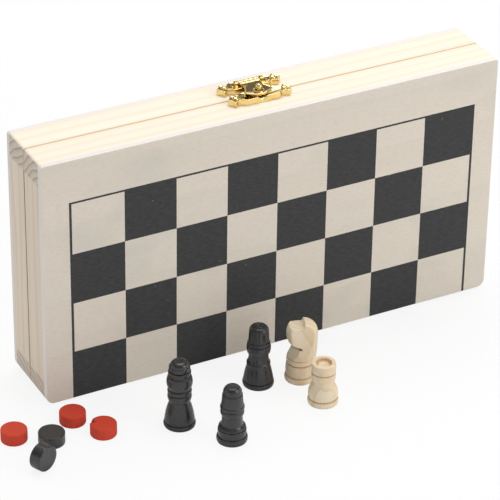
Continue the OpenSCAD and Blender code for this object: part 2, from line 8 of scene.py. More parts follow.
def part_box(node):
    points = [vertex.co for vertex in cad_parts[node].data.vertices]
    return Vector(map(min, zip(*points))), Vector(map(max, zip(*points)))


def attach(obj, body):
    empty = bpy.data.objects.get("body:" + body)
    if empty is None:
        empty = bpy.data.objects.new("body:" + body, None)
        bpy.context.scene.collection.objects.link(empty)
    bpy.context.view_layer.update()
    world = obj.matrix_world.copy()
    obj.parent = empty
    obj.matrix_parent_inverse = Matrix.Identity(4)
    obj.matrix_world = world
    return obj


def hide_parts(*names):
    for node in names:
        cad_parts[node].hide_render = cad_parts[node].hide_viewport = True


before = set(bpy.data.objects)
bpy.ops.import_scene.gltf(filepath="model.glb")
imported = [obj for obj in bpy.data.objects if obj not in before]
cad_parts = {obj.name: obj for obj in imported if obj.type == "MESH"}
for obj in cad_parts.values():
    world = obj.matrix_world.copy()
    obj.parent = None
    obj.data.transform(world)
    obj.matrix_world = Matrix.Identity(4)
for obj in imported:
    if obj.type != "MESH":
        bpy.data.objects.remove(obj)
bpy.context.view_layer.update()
print("frame loaded:", len(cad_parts), "nodes")

mm = 0.001
turnRound = 2 * math.pi

viewPoint = {
    "place": (-528.917, -983.217, 742.466),  # mm
    "heading": -27.987,  # degrees round Z, from +Y
    "lookDown": 31.19,
    "roll": 0.877,
    "lens": 200.78,  # on a 36 mm sensor
}


def placeCamera():
    data = bpy.data.cameras.new("photoCamera")
    data.lens = viewPoint["lens"]
    data.sensor_width = 36
    data.clip_end = 20
    camera = bpy.data.objects.new("photoCamera", data)
    turn = (
        Matrix.Rotation(math.radians(viewPoint["heading"]), 4, "Z")
        @ Matrix.Rotation(math.radians(90 - viewPoint["lookDown"]), 4, "X")
        @ Matrix.Rotation(math.radians(viewPoint["roll"]), 4, "Z")
    )
    camera.matrix_world = Matrix.Translation(Vector(viewPoint["place"]) * mm) @ turn
    bpy.context.scene.collection.objects.link(camera)
    bpy.context.scene.camera = camera


placeCamera()
print("camera placed")


# Sizes and places that the frame gives, in mm

def cornersOf(node):
    low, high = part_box(node)
    return Vector(low) / mm, Vector(high) / mm


frontLow, frontHigh = cornersOf("front_panel")
rearHigh = cornersOf("rear_panel")[1]
railLow, railHigh = cornersOf("front_hinge_rail")
caseMiddle = Vector(((frontLow.x + frontHigh.x) / 2, (frontLow.y + rearHigh.y) / 2, 0))
caseBottom = frontLow.z
caseTop = frontHigh.z
caseLength = frontHigh.x - frontLow.x
railThick = railHigh.z - railLow.z
innerLength = caseLength - 2 * railThick


# Making of nodes

def plug(tree, socket, value):
    if isinstance(value, bpy.types.NodeSocket):
        tree.links.new(value, socket)
    elif socket.type == "RGBA" and len(value) == 3:
        socket.default_value = (*value, 1)
    else:
        socket.default_value = value


def plugAll(tree, sockets, values):
    for key, value in values.items():
        plug(tree, sockets[key], value)


def addNode(tree, kind, inputs=None, **settings):
    made = tree.nodes.new(kind)
    for key, value in settings.items():
        setattr(made, key, value)
    plugAll(tree, made.inputs, inputs or {})
    return made


def calc(tree, operation, *values, clamp=False):
    inputs = dict(enumerate(values))
    return addNode(tree, "ShaderNodeMath", inputs, operation=operation, use_clamp=clamp).outputs[0]


def vectorCalc(tree, operation, *values):
    return addNode(tree, "ShaderNodeVectorMath", dict(enumerate(values)), operation=operation).outputs[0]


def blendColours(tree, factor, first, second):
    return addNode(tree, "ShaderNodeMix", {0: factor, 6: first, 7: second}, data_type="RGBA").outputs[2]


def spread(tree, value, fromLow, fromHigh, toLow=0.0, toHigh=1.0):
    return addNode(tree, "ShaderNodeMapRange", {
        "Value": value, "From Min": fromLow, "From Max": fromHigh, "To Min": toLow, "To Max": toHigh,
    }).outputs["Result"]


def noise(tree, place, scale, detail, roughness=0.5):
    return addNode(tree, "ShaderNodeTexNoise", {
        "Vector": place, "Scale": scale, "Detail": detail, "Roughness": roughness}).outputs


def attribute(tree, name):
    return addNode(tree, "ShaderNodeAttribute", attribute_name=name).outputs


def axes(tree, vector):
    return addNode(tree, "ShaderNodeSeparateXYZ", {"Vector": vector}).outputs


def addBump(tree, height, strength, distance):
    return addNode(tree, "ShaderNodeBump", {
        "Height": height, "Strength": strength, "Distance": distance * mm,
    }).outputs["Normal"]


def useGroup(tree, group, inputs):
    made = tree.nodes.new("ShaderNodeGroup")
    made.node_tree = group
    plugAll(tree, made.inputs, inputs)
    return made.outputs


# A group's inputs are given with their starting values, its outputs by name. All but Vector are numbers
def newGroup(name, ins, outs):
    group = bpy.data.node_groups.new(name, "ShaderNodeTree")
    group.interface.new_socket("Vector", in_out="INPUT", socket_type="NodeSocketVector")
    for label, value in ins.items():
        group.interface.new_socket(label, in_out="INPUT", socket_type="NodeSocketFloat").default_value = value
    for label in outs:
        group.interface.new_socket(label, in_out="OUTPUT", socket_type="NodeSocketFloat")
    return group, group.nodes.new("NodeGroupInput").outputs, group.nodes.new("NodeGroupOutput").inputs


def newMaterial(name):
    material = bpy.data.materials.new(name)
    material.use_nodes = True
    tree = material.node_tree
    return material, tree, tree.nodes["Principled BSDF"].inputs


# Object coordinates in mm, turned so that the grain lies along X
def millimetres(tree, grain="X", centre=(0, 0, 0)):
    turn = {"X": (0, 0, 0), "Y": (0, 0, -math.pi / 2), "Z": (0, math.pi / 2, 0)}[grain]
    place = addNode(tree, "ShaderNodeTexCoord").outputs["Object"]
    middle = vectorCalc(tree, "SUBTRACT", place, tuple(value * mm for value in centre))
    return addNode(tree, "ShaderNodeMapping", {
        "Vector": middle, "Scale": (1 / mm, 1 / mm, 1 / mm), "Rotation": turn,
    }).outputs["Vector"]


# Effects that several materials share

trunk = {
    "swayDraw": 0.07,  # how slowly the rings sway along the grain, over across it
    "swayScale": 0.09,
    "swayReach": 4.0,  # mm for a Wobble of 1
    "lateSharp": 3.2,  # how late in a ring its dark wood starts
    "ringEdge": 0.96,  # share of a ring after which the dark wood ends
    "fibreDraw": 0.02,
}


# Grain of sawn or turned wood. It runs along X of the given vector, in mm
def makeWoodGrain():
    group, given, result = newGroup(
        "woodGrain", {"Ring Width": 4.0, "Wobble": 2.0, "Fibre Width": 0.3}, ("Rings", "Fibre", "Tone"))
    drawn = vectorCalc(group, "MULTIPLY", given["Vector"], (trunk["swayDraw"], 1, 1))
    sway = noise(group, drawn, trunk["swayScale"], 2.5)["Color"]
    bend = addNode(group, "ShaderNodeVectorMath", {
        0: vectorCalc(group, "SUBTRACT", sway, (0.5, 0.5, 0.5)),
        "Scale": calc(group, "MULTIPLY", given["Wobble"], trunk["swayReach"]),
    }, operation="SCALE").outputs[0]
    rings = addNode(group, "ShaderNodeTexWave", {
        "Vector": vectorCalc(group, "ADD", given["Vector"], bend),
        "Scale": calc(group, "DIVIDE", turnRound / 20, given["Ring Width"]),
    }, wave_type="RINGS", rings_direction="X", wave_profile="SAW").outputs["Fac"]
    late = calc(group, "POWER", rings, trunk["lateSharp"])
    edge = spread(group, rings, trunk["ringEdge"], 1.0, 1.0, 0.0)
    thread = vectorCalc(group, "MULTIPLY", given["Vector"], (trunk["fibreDraw"], 1, 1))
    plugAll(group, result, {
        "Rings": calc(group, "MULTIPLY", late, edge),
        "Fibre": noise(group, thread, calc(group, "DIVIDE", 0.5, given["Fibre Width"]), 4.0, 0.65)["Fac"],
        "Tone": noise(group, drawn, 0.05, 1.0)["Fac"],
    })
    return group


# Small marks of dust and scuffs, as a mask
def makeSpecks():
    group, given, result = newGroup("fineSpecks", {"Spacing": 3.0, "Size": 0.1}, ("Mask",))
    cells = addNode(group, "ShaderNodeTexVoronoi", {
        "Vector": given["Vector"], "Scale": calc(group, "DIVIDE", 1.0, given["Spacing"])}).outputs
    lot = addNode(group, "ShaderNodeSeparateColor", {"Color": cells["Color"]}).outputs["Red"]
    chosen = calc(group, "GREATER_THAN", lot, 0.62)
    near = spread(group, cells["Distance"], given["Size"], 0.0)
    plug(group, result["Mask"], calc(group, "MULTIPLY", near, chosen))
    return group


woodGrain = makeWoodGrain()
fineSpecks = makeSpecks()


# Pine

pineLook = {
    "ringWidth": 3.6, "wobble": 0.8, "ringShow": 0.42, "fibreShow": 0.2,
    "early": (0.92, 0.83, 0.69), "tone": (0.94, 0.86, 0.73), "late": (0.84, 0.63, 0.40),
    "fibre": (0.85, 0.73, 0.56), "endPale": (0.70, 0.61, 0.52), "endDark": (0.38, 0.28, 0.20),
    # rim is the colour of a painted shade along the seam where the trays meet; the number after it is how
    # strongly it is laid on
    "rim": (0.66, 0.42, 0.22), "seamShade": 0.7,
}
sideLook = dict(
    pineLook, ringWidth=6.0, wobble=2.4, ringShow=0.5, early=(0.84, 0.74, 0.62),
    # on the side rails the painted shade along the seam is darker and stronger
    tone=(0.80, 0.69, 0.57), late=(0.62, 0.47, 0.34), rim=(0.30, 0.17, 0.08), seamShade=0.9,
)


# pith is where the tree's middle was, seen from the rail's own middle. Along the seam where the trays meet,
# the rims get a painted shade
def makePine(name, grain, centre, pith, look):
    material, tree, shader = newMaterial(name)
    spot = vectorCalc(tree, "ADD", millimetres(tree, grain, centre), (0, *pith))
    wood = useGroup(tree, woodGrain, {
        "Vector": spot, "Ring Width": look["ringWidth"], "Wobble": look["wobble"], "Fibre Width": 0.35,
    })
    facing = axes(tree, addNode(tree, "ShaderNodeTexCoord").outputs["Normal"])[grain]
    endGrain = spread(tree, calc(tree, "ABSOLUTE", facing), 0.6, 0.9)
    pale = blendColours(tree, spread(tree, wood["Tone"], 0.35, 0.65), look["early"], look["tone"])
    ringed = blendColours(tree, calc(tree, "MULTIPLY", wood["Rings"], look["ringShow"]), pale, look["late"])
    fibreShare = spread(tree, wood["Fibre"], 0.35, 0.75, 0.0, look["fibreShow"])
    fibred = blendColours(tree, fibreShare, ringed, look["fibre"])
    sawn = blendColours(tree, wood["Rings"], look["endPale"], look["endDark"])
    cut = blendColours(tree, endGrain, fibred, sawn)
    # painted shade: a dark band, up to 1.5 mm wide, along the seam where the two trays meet
    depth = axes(tree, millimetres(tree, "X", (0, caseMiddle.y, 0)))["Y"]
    rim = spread(tree, calc(tree, "ABSOLUTE", depth), 0.25, 0.75, look["seamShade"], 0.0)
    height = calc(tree, "ADD", calc(tree, "MULTIPLY", wood["Rings"], 0.5), wood["Fibre"])
    plugAll(tree, shader, {
        "Base Color": blendColours(tree, rim, cut, look["rim"]),
        "Roughness": spread(tree, wood["Fibre"], 0.3, 0.7, 0.5, 0.68),
        "Normal": addBump(tree, height, 0.25, 0.12),
        "Specular IOR Level": 0.3,
    })
    return material


# Plywood, printed outside and inside

board = {
    "square": 26.5,
    "left": -105.3,  # inner edge of the border line, from the middle of the case
    "top": 105.3,  # inner edge of the border line, from the case's hinge edge
    "columns": 8,
    "sideLine": 1.25,
    "topLine": 1.0,
    "ragged": 0.12,  # how far the print's edge wanders
    "ink": (0.036, 0.036, 0.037),
    "wornInk": (0.066, 0.066, 0.067),
}
points = {
    "count": 6,  # on each short rail
    "length": 92.0,
    "foot": 0.98,
    "taper": 2.1,  # half a point's width at its foot is foot / taper of the pitch
    "dark": (0.045, 0.043, 0.042),
    "red": (0.42, 0.06, 0.035),
}
plyLook = {
    "grain": {"Ring Width": 34.0, "Wobble": 9.0, "Fibre Width": 0.22},
    "pith": (0, 60, 210),  # from the middle of the case's hinge edge
    "pale": (0.75, 0.69, 0.595), "warm": (0.77, 0.69, 0.60), "grey": (0.68, 0.62, 0.52),
    "fibre": (0.60, 0.53, 0.42), "smudge": (0.58, 0.55, 0.50),
    "edgePale": ((0.82, 0.76, 0.72), (0.90, 0.86, 0.82)), "edgeDark": (0.72, 0.60, 0.48),
    "core": (0.36, 0.66),  # where the darker ply starts and ends, as shares of the thickness
}


# The colour of a plywood face, and the flecks that its finish follows
def plyColour(tree, place):
    spot = vectorCalc(tree, "ADD", place, plyLook["pith"])
    wood = useGroup(tree, woodGrain, {"Vector": spot, **plyLook["grain"]})
    base = blendColours(tree, spread(tree, wood["Tone"], 0.3, 0.7), plyLook["pale"], plyLook["warm"])
    clouded = blendColours(tree, calc(tree, "MULTIPLY", wood["Rings"], 0.35), base, plyLook["grey"])
    smudge = noise(tree, vectorCalc(tree, "MULTIPLY", place, (0.6, 1, 1)), 0.035, 2.0)["Fac"]
    dusty = blendColours(tree, spread(tree, smudge, 0.56, 0.74, 0.0, 0.5), clouded, plyLook["smudge"])
    fleck = noise(tree, vectorCalc(tree, "MULTIPLY", place, (0.14, 1, 1)), 2.2, 4.0, 0.7)["Fac"]
    return blendColours(tree, spread(tree, fleck, 0.45, 0.75, 0.0, 0.55), dusty, plyLook["fibre"]), fleck


def plugPlyFace(tree, shader, colour, fleck):
    plugAll(tree, shader, {
        "Base Color": colour,
        "Roughness": spread(tree, fleck, 0.3, 0.7, 0.6, 0.74),
        "Normal": addBump(tree, fleck, 0.3, 0.08),
    })


# Plywood face with the printed half board. parity is 1 where the top left square is dark
def makePrinted(name, parity):
    material, tree, shader = newMaterial(name)
    place = millimetres(tree, "X", (caseMiddle.x, caseMiddle.y, caseBottom))
    colour, fleck = plyColour(tree, place)
    shake = vectorCalc(tree, "SUBTRACT", noise(tree, place, 1.6, 3.0)["Color"], (0.5, 0.5, 0.5))
    shaken = vectorCalc(tree, "ADD", place, vectorCalc(tree, "MULTIPLY", shake, (board["ragged"] * 2,) * 3))
    parts = axes(tree, shaken)
    across = calc(tree, "SUBTRACT", parts["X"], board["left"])
    down = calc(tree, "SUBTRACT", board["top"], parts["Z"])
    column = calc(tree, "FLOOR", calc(tree, "DIVIDE", across, board["square"]))
    row = calc(tree, "FLOOR", calc(tree, "DIVIDE", down, board["square"]))
    odd = calc(tree, "FLOORED_MODULO", calc(tree, "ADD", calc(tree, "ADD", column, row), float(parity)), 2.0)

    # Everything under the line along the top and between those at the sides
    def within(side, top):
        width = board["square"] * board["columns"]
        overLeft = calc(tree, "GREATER_THAN", across, -side)
        underRight = calc(tree, "LESS_THAN", across, width + side)
        return calc(tree, "MULTIPLY", calc(tree, "MULTIPLY", overLeft, underRight),
                    calc(tree, "GREATER_THAN", down, -top))

    inGrid = within(0.0, 0.0)
    line = calc(tree, "SUBTRACT", within(board["sideLine"], board["topLine"]), inGrid)
    inked = calc(tree, "MAXIMUM", line, calc(tree, "MULTIPLY", inGrid, odd))
    specks = useGroup(tree, fineSpecks, {"Vector": place, "Spacing": 7.0, "Size": 0.05})["Mask"]
    cover = calc(tree, "MULTIPLY", inked, calc(tree, "SUBTRACT", 1.0, calc(tree, "MULTIPLY", specks, 0.5)))
    inkTone = blendColours(tree, spread(tree, fleck, 0.4, 0.7), board["ink"], board["wornInk"])
    plugPlyFace(tree, shader, blendColours(tree, cover, colour, inkTone), fleck)
    plug(tree, shader["Specular IOR Level"], 0.25)
    return material


# Inner face of a tray: plywood with the long triangles of a backgammon table
def makePoints(name):
    material, tree, shader = newMaterial(name)
    place = millimetres(tree, "X", (caseMiddle.x, caseMiddle.y, caseBottom + railThick))
    colour, fleck = plyColour(tree, place)
    parts = axes(tree, place)
    pitch = (caseTop - caseBottom - 2 * railThick) / points["count"]
    lane = calc(tree, "DIVIDE", parts["Z"], pitch)
    side = calc(tree, "GREATER_THAN", parts["X"], 0.0)
    inward = calc(tree, "SUBTRACT", innerLength / 2, calc(tree, "ABSOLUTE", parts["X"]))
    depth = calc(tree, "DIVIDE", inward, points["length"])
    offMiddle = calc(tree, "ABSOLUTE", calc(tree, "SUBTRACT", calc(tree, "FRACT", lane), 0.5))
    slope = calc(tree, "ADD", calc(tree, "MULTIPLY", offMiddle, points["taper"]), depth)
    parity = calc(tree, "FLOORED_MODULO", calc(tree, "ADD", calc(tree, "FLOOR", lane), side), 2.0)
    pair = blendColours(tree, parity, points["dark"], points["red"])
    inside = calc(tree, "LESS_THAN", slope, points["foot"])
    plugPlyFace(tree, shader, blendColours(tree, inside, colour, pair), fleck)
    return material


# Sawn edge of the plywood: two pale outer plies and a darker one between
def makePlyEdge(name, outerY, innerY):
    material, tree, shader = newMaterial(name)
    place = millimetres(tree, "X", (caseMiddle.x, 0, caseBottom))
    grain = noise(tree, vectorCalc(tree, "MULTIPLY", place, (0.3, 2.0, 0.3)), 1.5, 4.0)["Fac"]
    share = spread(tree, axes(tree, place)["Y"], outerY, innerY)
    start, end = plyLook["core"]
    core = calc(tree, "MULTIPLY", calc(tree, "GREATER_THAN", share, start),
                calc(tree, "LESS_THAN", share, end))
    pale = blendColours(tree, grain, *plyLook["edgePale"])
    plugAll(tree, shader, {
        "Base Color": blendColours(tree, calc(tree, "MULTIPLY", core, 0.35), pale, plyLook["edgeDark"]),
        "Roughness": spread(tree, grain, 0.3, 0.7, 0.62, 0.8),
        "Normal": addBump(tree, grain, 0.3, 0.1),
    })
    return material


# Turned wood, painted or bare

# worn is the colour of the crests, a painted highlight that also stands for wear; cut is the colour of the
# painted shade in the grooves of the black men, and of the chip on a red draught
blackLook = {
    "colour": (0.016, 0.016, 0.017), "streak": (0.028, 0.028, 0.029),
    "worn": (0.062, 0.060, 0.059), "wearAndSheenShow": 0.5, "cut": (0.005, 0.005, 0.006), "burnAndShadeShow": 0.8,
    "speck": (0.11, 0.11, 0.11), "rough": (0.24, 0.36), "coat": 0.3, "shine": 0.5,
}
redLook = {
    "colour": (0.66, 0.066, 0.033), "streak": (0.60, 0.056, 0.028),
    "worn": (0.68, 0.10, 0.05), "wearAndSheenShow": 0.4, "cut": (0.16, 0.020, 0.014), "burnAndShadeShow": 0.9,
    "speck": (0.40, 0.035, 0.02), "rough": (0.55, 0.68), "coat": 0.0, "shine": 0.22,
}
mouthZ = 19.8  # height of the knight's mouth, which is cut and scorched
bareLook = {
    "grain": {"Ring Width": 3.0, "Wobble": 1.5, "Fibre Width": 0.25},
    "pith": (0, 9.0, 23.0),
    "pale": (0.91, 0.81, 0.64), "warm": (0.85, 0.70, 0.49), "late": (0.70, 0.50, 0.28),
    "fibre": (0.74, 0.57, 0.36), "toasted": (0.66, 0.42, 0.20), "burnt": (0.25, 0.12, 0.05),
    "scorch": {"middle": -1.45, "reach": 1.55, "slope": 0.1},  # of the mouth, along x
}


# Painted or stained: the crest attribute brightens the crests with a painted highlight that also stands for
# wear; the groove attribute darkens the grooves with painted shade, and a draught's chip
def makePaint(name, look):
    material, tree, shader = newMaterial(name)
    place = millimetres(tree, "Z")
    wood = useGroup(tree, woodGrain, {"Vector": place, "Ring Width": 2.2, "Wobble": 1.2, "Fibre Width": 0.18})
    specks = useGroup(tree, fineSpecks, {"Vector": place, "Spacing": 3.2, "Size": 0.06})["Mask"]
    # painted highlight on the crests, which also stands for wear, and painted shade in the grooves
    wear = calc(tree, "MULTIPLY", attribute(tree, "wear")["Fac"], look["wearAndSheenShow"])
    burn = calc(tree, "MULTIPLY", attribute(tree, "burn")["Fac"], look["burnAndShadeShow"])
    film = blendColours(tree, spread(tree, wood["Fibre"], 0.35, 0.75), look["colour"], look["streak"])
    cut = blendColours(tree, burn, blendColours(tree, wear, film, look["worn"]), look["cut"])
    height = calc(tree, "ADD", wood["Fibre"], calc(tree, "MULTIPLY", wood["Rings"], 0.4))
    plugAll(tree, shader, {
        "Base Color": blendColours(tree, calc(tree, "MULTIPLY", specks, 0.5), cut, look["speck"]),
        "Roughness": spread(tree, wood["Fibre"], 0.3, 0.7, *look["rough"]),
        "Normal": addBump(tree, height, 0.2, 0.1),
        "Specular IOR Level": look["shine"],
        "Coat Weight": look["coat"],
        "Coat Roughness": 0.12,
    })
    return material


# Bare wood: the dark band attribute scorches the grooves, and local gives the place on a knight for its mouth
def makeBareWood(name, look):
    material, tree, shader = newMaterial(name)
    place = vectorCalc(tree, "ADD", millimetres(tree, "Z"), look["pith"])
    wood = useGroup(tree, woodGrain, {"Vector": place, **look["grain"]})
    base = blendColours(tree, spread(tree, wood["Tone"], 0.35, 0.65), look["pale"], look["warm"])
    ringed = blendColours(tree, calc(tree, "MULTIPLY", wood["Rings"], 0.65), base, look["late"])
    fibred = blendColours(tree, spread(tree, wood["Fibre"], 0.4, 0.75, 0.0, 0.6), ringed, look["fibre"])
    scorch = look["scorch"]
    parts = axes(tree, attribute(tree, "local")["Vector"])
    over = calc(tree, "ADD", calc(tree, "SUBTRACT", parts["Z"], mouthZ),
                calc(tree, "MULTIPLY", parts["X"], scorch["slope"]))
    ragged = calc(tree, "ADD", over, calc(tree, "MULTIPLY", wood["Fibre"], 0.5))
    slit = spread(tree, calc(tree, "ABSOLUTE", ragged), 0.2, 0.75, 1.0, 0.0)
    along = calc(tree, "ABSOLUTE", calc(tree, "ADD", parts["X"], -scorch["middle"]))
    mouth = calc(tree, "MULTIPLY", slit, calc(tree, "LESS_THAN", along, scorch["reach"]))
    burn = calc(tree, "MULTIPLY", attribute(tree, "burn")["Fac"], 0.62)
    patchy = spread(tree, wood["Fibre"], 0.3, 0.7, 0.75, 1.15)
    char = calc(tree, "MULTIPLY", calc(tree, "MAXIMUM", burn, mouth), patchy, clamp=True)
    halo = blendColours(tree, spread(tree, char, 0.05, 0.5, 0.0, 0.85), fibred, look["toasted"])
    plugAll(tree, shader, {
        "Base Color": blendColours(tree, spread(tree, char, 0.45, 0.95), halo, look["burnt"]),
        "Roughness": spread(tree, wood["Fibre"], 0.3, 0.7, 0.4, 0.52),
        "Normal": addBump(tree, wood["Fibre"], 0.2, 0.1),
        "Coat Weight": 0.1,
        "Coat Roughness": 0.3,
    })
    return material


# Brass and the bone of the dice

def makeBrass(name):
    material, tree, shader = newMaterial(name)
    place = millimetres(tree)
    cloud = noise(tree, place, 0.9, 3.0)["Fac"]
    rub = noise(tree, vectorCalc(tree, "MULTIPLY", place, (0.4, 5.0, 5.0)), 3.0, 3.0)["Fac"]
    tone = blendColours(tree, spread(tree, cloud, 0.35, 0.65), (0.82, 0.62, 0.25), (0.90, 0.72, 0.36))
    plugAll(tree, shader, {
        "Base Color": tone,
        "Metallic": 1.0,
        "Roughness": spread(tree, rub, 0.3, 0.7, 0.05, 0.11),
        "Normal": addBump(tree, calc(tree, "ADD", rub, cloud), 0.04, 0.1),
    })
    return material


def makeBone(name):
    material, tree, shader = newMaterial(name)
    haze = noise(tree, millimetres(tree), 0.4, 3.0)["Fac"]
    pale = blendColours(tree, spread(tree, haze, 0.35, 0.65), (0.86, 0.82, 0.73), (0.82, 0.77, 0.66))
    plugAll(tree, shader, {
        # here the dark band attribute marks the black pips
        "Base Color": blendColours(tree, attribute(tree, "burn")["Fac"], pale, (0.02, 0.02, 0.02)),
        "Roughness": spread(tree, haze, 0.3, 0.7, 0.22, 0.34),
        "Normal": addBump(tree, haze, 0.05, 0.1),
    })
    return material


brass = makeBrass("stampedBrass")
blackStain = makePaint("blackStainedWood", blackLook)
redPaint = makePaint("redPaintedWood", redLook)
bareWood = makeBareWood("lacqueredBareWood", bareLook)
bone = makeBone("dieBone")
print("materials made")


# Making of pieces. Meshes are drawn in mm in the row frame and scaled when they are finished

def finishMesh(bm, name, smoothAngle=35):
    for vertex in bm.verts:
        vertex.co *= mm
    mesh = bpy.data.meshes.new(name)
    bm.to_mesh(mesh)
    bm.free()
    mesh.polygons.foreach_set("use_smooth", [True] * len(mesh.polygons))
    mesh.set_sharp_from_angle(angle=math.radians(smoothAngle))
    return mesh


# A finished mesh opened again in mm. The mesh itself is deleted
def reopened(mesh):
    bm = bmesh.new()
    bm.from_mesh(mesh)
    bpy.data.meshes.remove(mesh)
    for vertex in bm.verts:
        vertex.co /= mm
    return bm


def placed(name, data):
    thing = bpy.data.objects.new(name, data)
    bpy.context.scene.collection.objects.link(thing)
    return thing


def newPiece(name, mesh, materials, body, slotName, *replaced):
    piece = placed(name, mesh)
    if not mesh.materials:
        for material in materials:
            mesh.materials.append(material)
    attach(piece, body)
    if replaced:
        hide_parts(*replaced)
    return piece


def brassPiece(name, bm, body, node, smoothAngle=40):
    newPiece(name, finishMesh(bm, name, smoothAngle), [brass], body, "brass", node)


# A CAD node's shape with its triangles joined into faces. weigh gives each sharp edge's bevel in mm
def softCopy(node, weigh, segments=3):
    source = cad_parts[node]
    bm = bmesh.new()
    bm.from_mesh(source.data)
    bmesh.ops.transform(bm, matrix=Matrix.Scale(1 / mm, 4) @ source.matrix_world, verts=bm.verts)
    bmesh.ops.remove_doubles(bm, verts=bm.verts, dist=0.002)
    bmesh.ops.dissolve_limit(bm, angle_limit=math.radians(1), verts=bm.verts, edges=bm.edges)
    weights = bm.edges.layers.float.new("bevel_weight_edge")
    widest = 0.0
    for edge in bm.edges:
        if len(edge.link_faces) == 2 and edge.calc_face_angle(0) > math.radians(30):
            edge[weights] = weigh(edge)
            widest = max(widest, edge[weights])
    for edge in bm.edges:
        edge[weights] /= widest or 1
    draft = placed(node + "Draft", finishMesh(bm, node + "Draft"))
    bevel = draft.modifiers.new("edges", "BEVEL")
    bevel.limit_method = "WEIGHT"
    bevel.width = widest * mm
    bevel.segments = segments
    bevel.harden_normals = False
    made = finished(draft)
    made.name = node + "Soft"
    return made


# The evaluated mesh of a draft object, which is then deleted
def finished(draft):
    bpy.context.view_layer.update()
    graph = bpy.context.evaluated_depsgraph_get()
    mesh = bpy.data.meshes.new_from_object(draft.evaluated_get(graph))
    old = draft.data
    bpy.data.objects.remove(draft)
    if old.users == 0:
        bpy.data.meshes.remove(old)
    return mesh


# Case

caseEdges = {
    "rim": 0.3,  # bevel of the rims, where the trays meet
    "outer": 0.5,  # bevel round the outer faces of the panels
    "rest": 0.12,  # other edges of the rails
    "panelRest": 0.02,  # other edges of the panels
}


def isOn(edge, axis, value, slack=0.05):
    return all(abs(vertex.co[axis] - value) < slack for vertex in edge.verts)


def railEdge(rimY):
    def weigh(edge):
        return caseEdges["rim"] if isOn(edge, 1, rimY) else caseEdges["rest"]
    return weigh


def panelEdge(faceY):
    def weigh(edge):
        return caseEdges["outer"] if isOn(edge, 1, faceY) else caseEdges["panelRest"]
    return weigh


def dressTray(side, body):
    low, high = cornersOf(side + "_panel")
    front = side == "front"
    faceY = low.y if front else high.y
    innerY = high.y if front else low.y
    rimLow, rimHigh = cornersOf(side + "_clasp_rail")
    rimY = rimHigh.y if front else rimLow.y
    mesh = softCopy(side + "_panel", panelEdge(faceY))
    skins = [makePrinted(side + "Print", 0 if front else 1), makePlyEdge(side + "PlyEdge", faceY, innerY),
             makePoints(side + "Points")]
    for material in skins:
        mesh.materials.append(material)
    outward = -1 if front else 1
    for polygon in mesh.polygons:
        facing = polygon.normal.y * outward
        polygon.material_index = 0 if facing > 0.9 else 2 if facing < -0.9 else 1
    newPiece(side + "PanelPrinted", mesh, skins, body, "plywood", side + "_panel")
    for place, grain, look, pith in (
        ("clasp", "X", pineLook, (30.0, 33.0) if front else (25.0, 37.0)),
        ("hinge", "X", pineLook, (-19.0, 36.0) if front else (-23.0, 40.0)),
        ("left", "Z", sideLook, (34.0, 9.0) if front else (-42.0, 12.0)),
        ("right", "Z", sideLook, (-37.0, 14.0) if front else (30.0, -20.0)),
    ):
        node = side + "_" + place + "_rail"
        railCorner, otherCorner = cornersOf(node)
        name = side + place.capitalize()
        wood = makePine(name + "Pine", grain, tuple((railCorner + otherCorner) / 2), pith, look)
        newPiece(name + "Rail", softCopy(node, railEdge(rimY)), [wood], body, "pine", node)


dressTray("front", "front_half")
dressTray("rear", "rear_half")
print("trays dressed")


# Hinges

def dressHinges():
    for side in ("left", "right"):
        for part, body in (("front_leaf", "front_half"), ("rear_leaf", "rear_half"), ("pin", "front_half"),
                           ("front_nails", "front_half"), ("rear_nails", "rear_half")):
            node = side + "_hinge_" + part
            newPiece(side + "Hinge" + part.title().replace("_", ""), softCopy(node, lambda edge: 0.08, 2),
                     [brass], body, "brass", node)


dressHinges()
print("hinges dressed")


# Outlines and profiles, as lists of points in mm

def arc(centre, radius, start, end, steps):
    angles = [math.radians(start + (end - start) * step / steps) for step in range(steps + 1)]
    return [(centre[0] + radius * math.cos(angle), centre[1] + radius * math.sin(angle)) for angle in angles]


# Points from one place to another on a curve that bows out by height, to the right of the way
def bow(first, last, height, steps=10):
    run = (last[0] - first[0], last[1] - first[1])
    length = math.hypot(*run)
    curve = []
    for step in range(steps + 1):
        share = step / steps
        out = height * 4 * share * (1 - share)
        curve.append((first[0] + run[0] * share + run[1] / length * out,
                      first[1] + run[1] * share - run[0] / length * out))
    return curve


def dome(radius, low, high, steps=12):
    quarters = [math.pi / 2 * step / steps for step in range(steps + 1)]
    return [(radius * math.cos(angle), low + (high - low) * math.sin(angle)) for angle in quarters]


# Rounds the corners of an open line of points
def eased(corners, radius, steps=3):
    line = [Vector(corner) for corner in corners]
    result = [line[0]]
    for before, corner, after in zip(line, line[1:], line[2:]):
        back = before - corner
        ahead = after - corner
        if back.length < 1e-6 or ahead.length < 1e-6:
            continue
        if back.angle(ahead) > math.radians(168):
            result.append(corner)
            continue
        start = corner + back * min(radius / back.length, 0.45)
        end = corner + ahead * min(radius / ahead.length, 0.45)
        for step in range(steps + 1):
            share = step / steps
            result.append(start.lerp(corner, share).lerp(corner.lerp(end, share), share))
    result.append(line[-1])
    return [tuple(point) for point in result]


# Softens the corners of a closed outline and keeps its count of points
def relaxed(ring, rounds=3):
    for _ in range(rounds):
        following = ring[1:] + ring[:1]
        ring = [tuple((a + 2 * b + c) / 4 for a, b, c in zip(ring[index - 1], point, following[index]))
                for index, point in enumerate(ring)]
    return ring


# Moves the points of a closed outline inwards
def inset(outline, distance):
    result = []
    for index, point in enumerate(outline):
        before = Vector(point) - Vector(outline[index - 1])
        after = Vector(outline[(index + 1) % len(outline)]) - Vector(point)
        normals = [Vector((-edge.y, edge.x)).normalized() for edge in (before, after)]
        middle = (normals[0] + normals[1]).normalized()
        reach = distance / max(0.5, middle.dot(normals[0]))
        result.append((point[0] + middle.x * reach, point[1] + middle.y * reach))
    return result


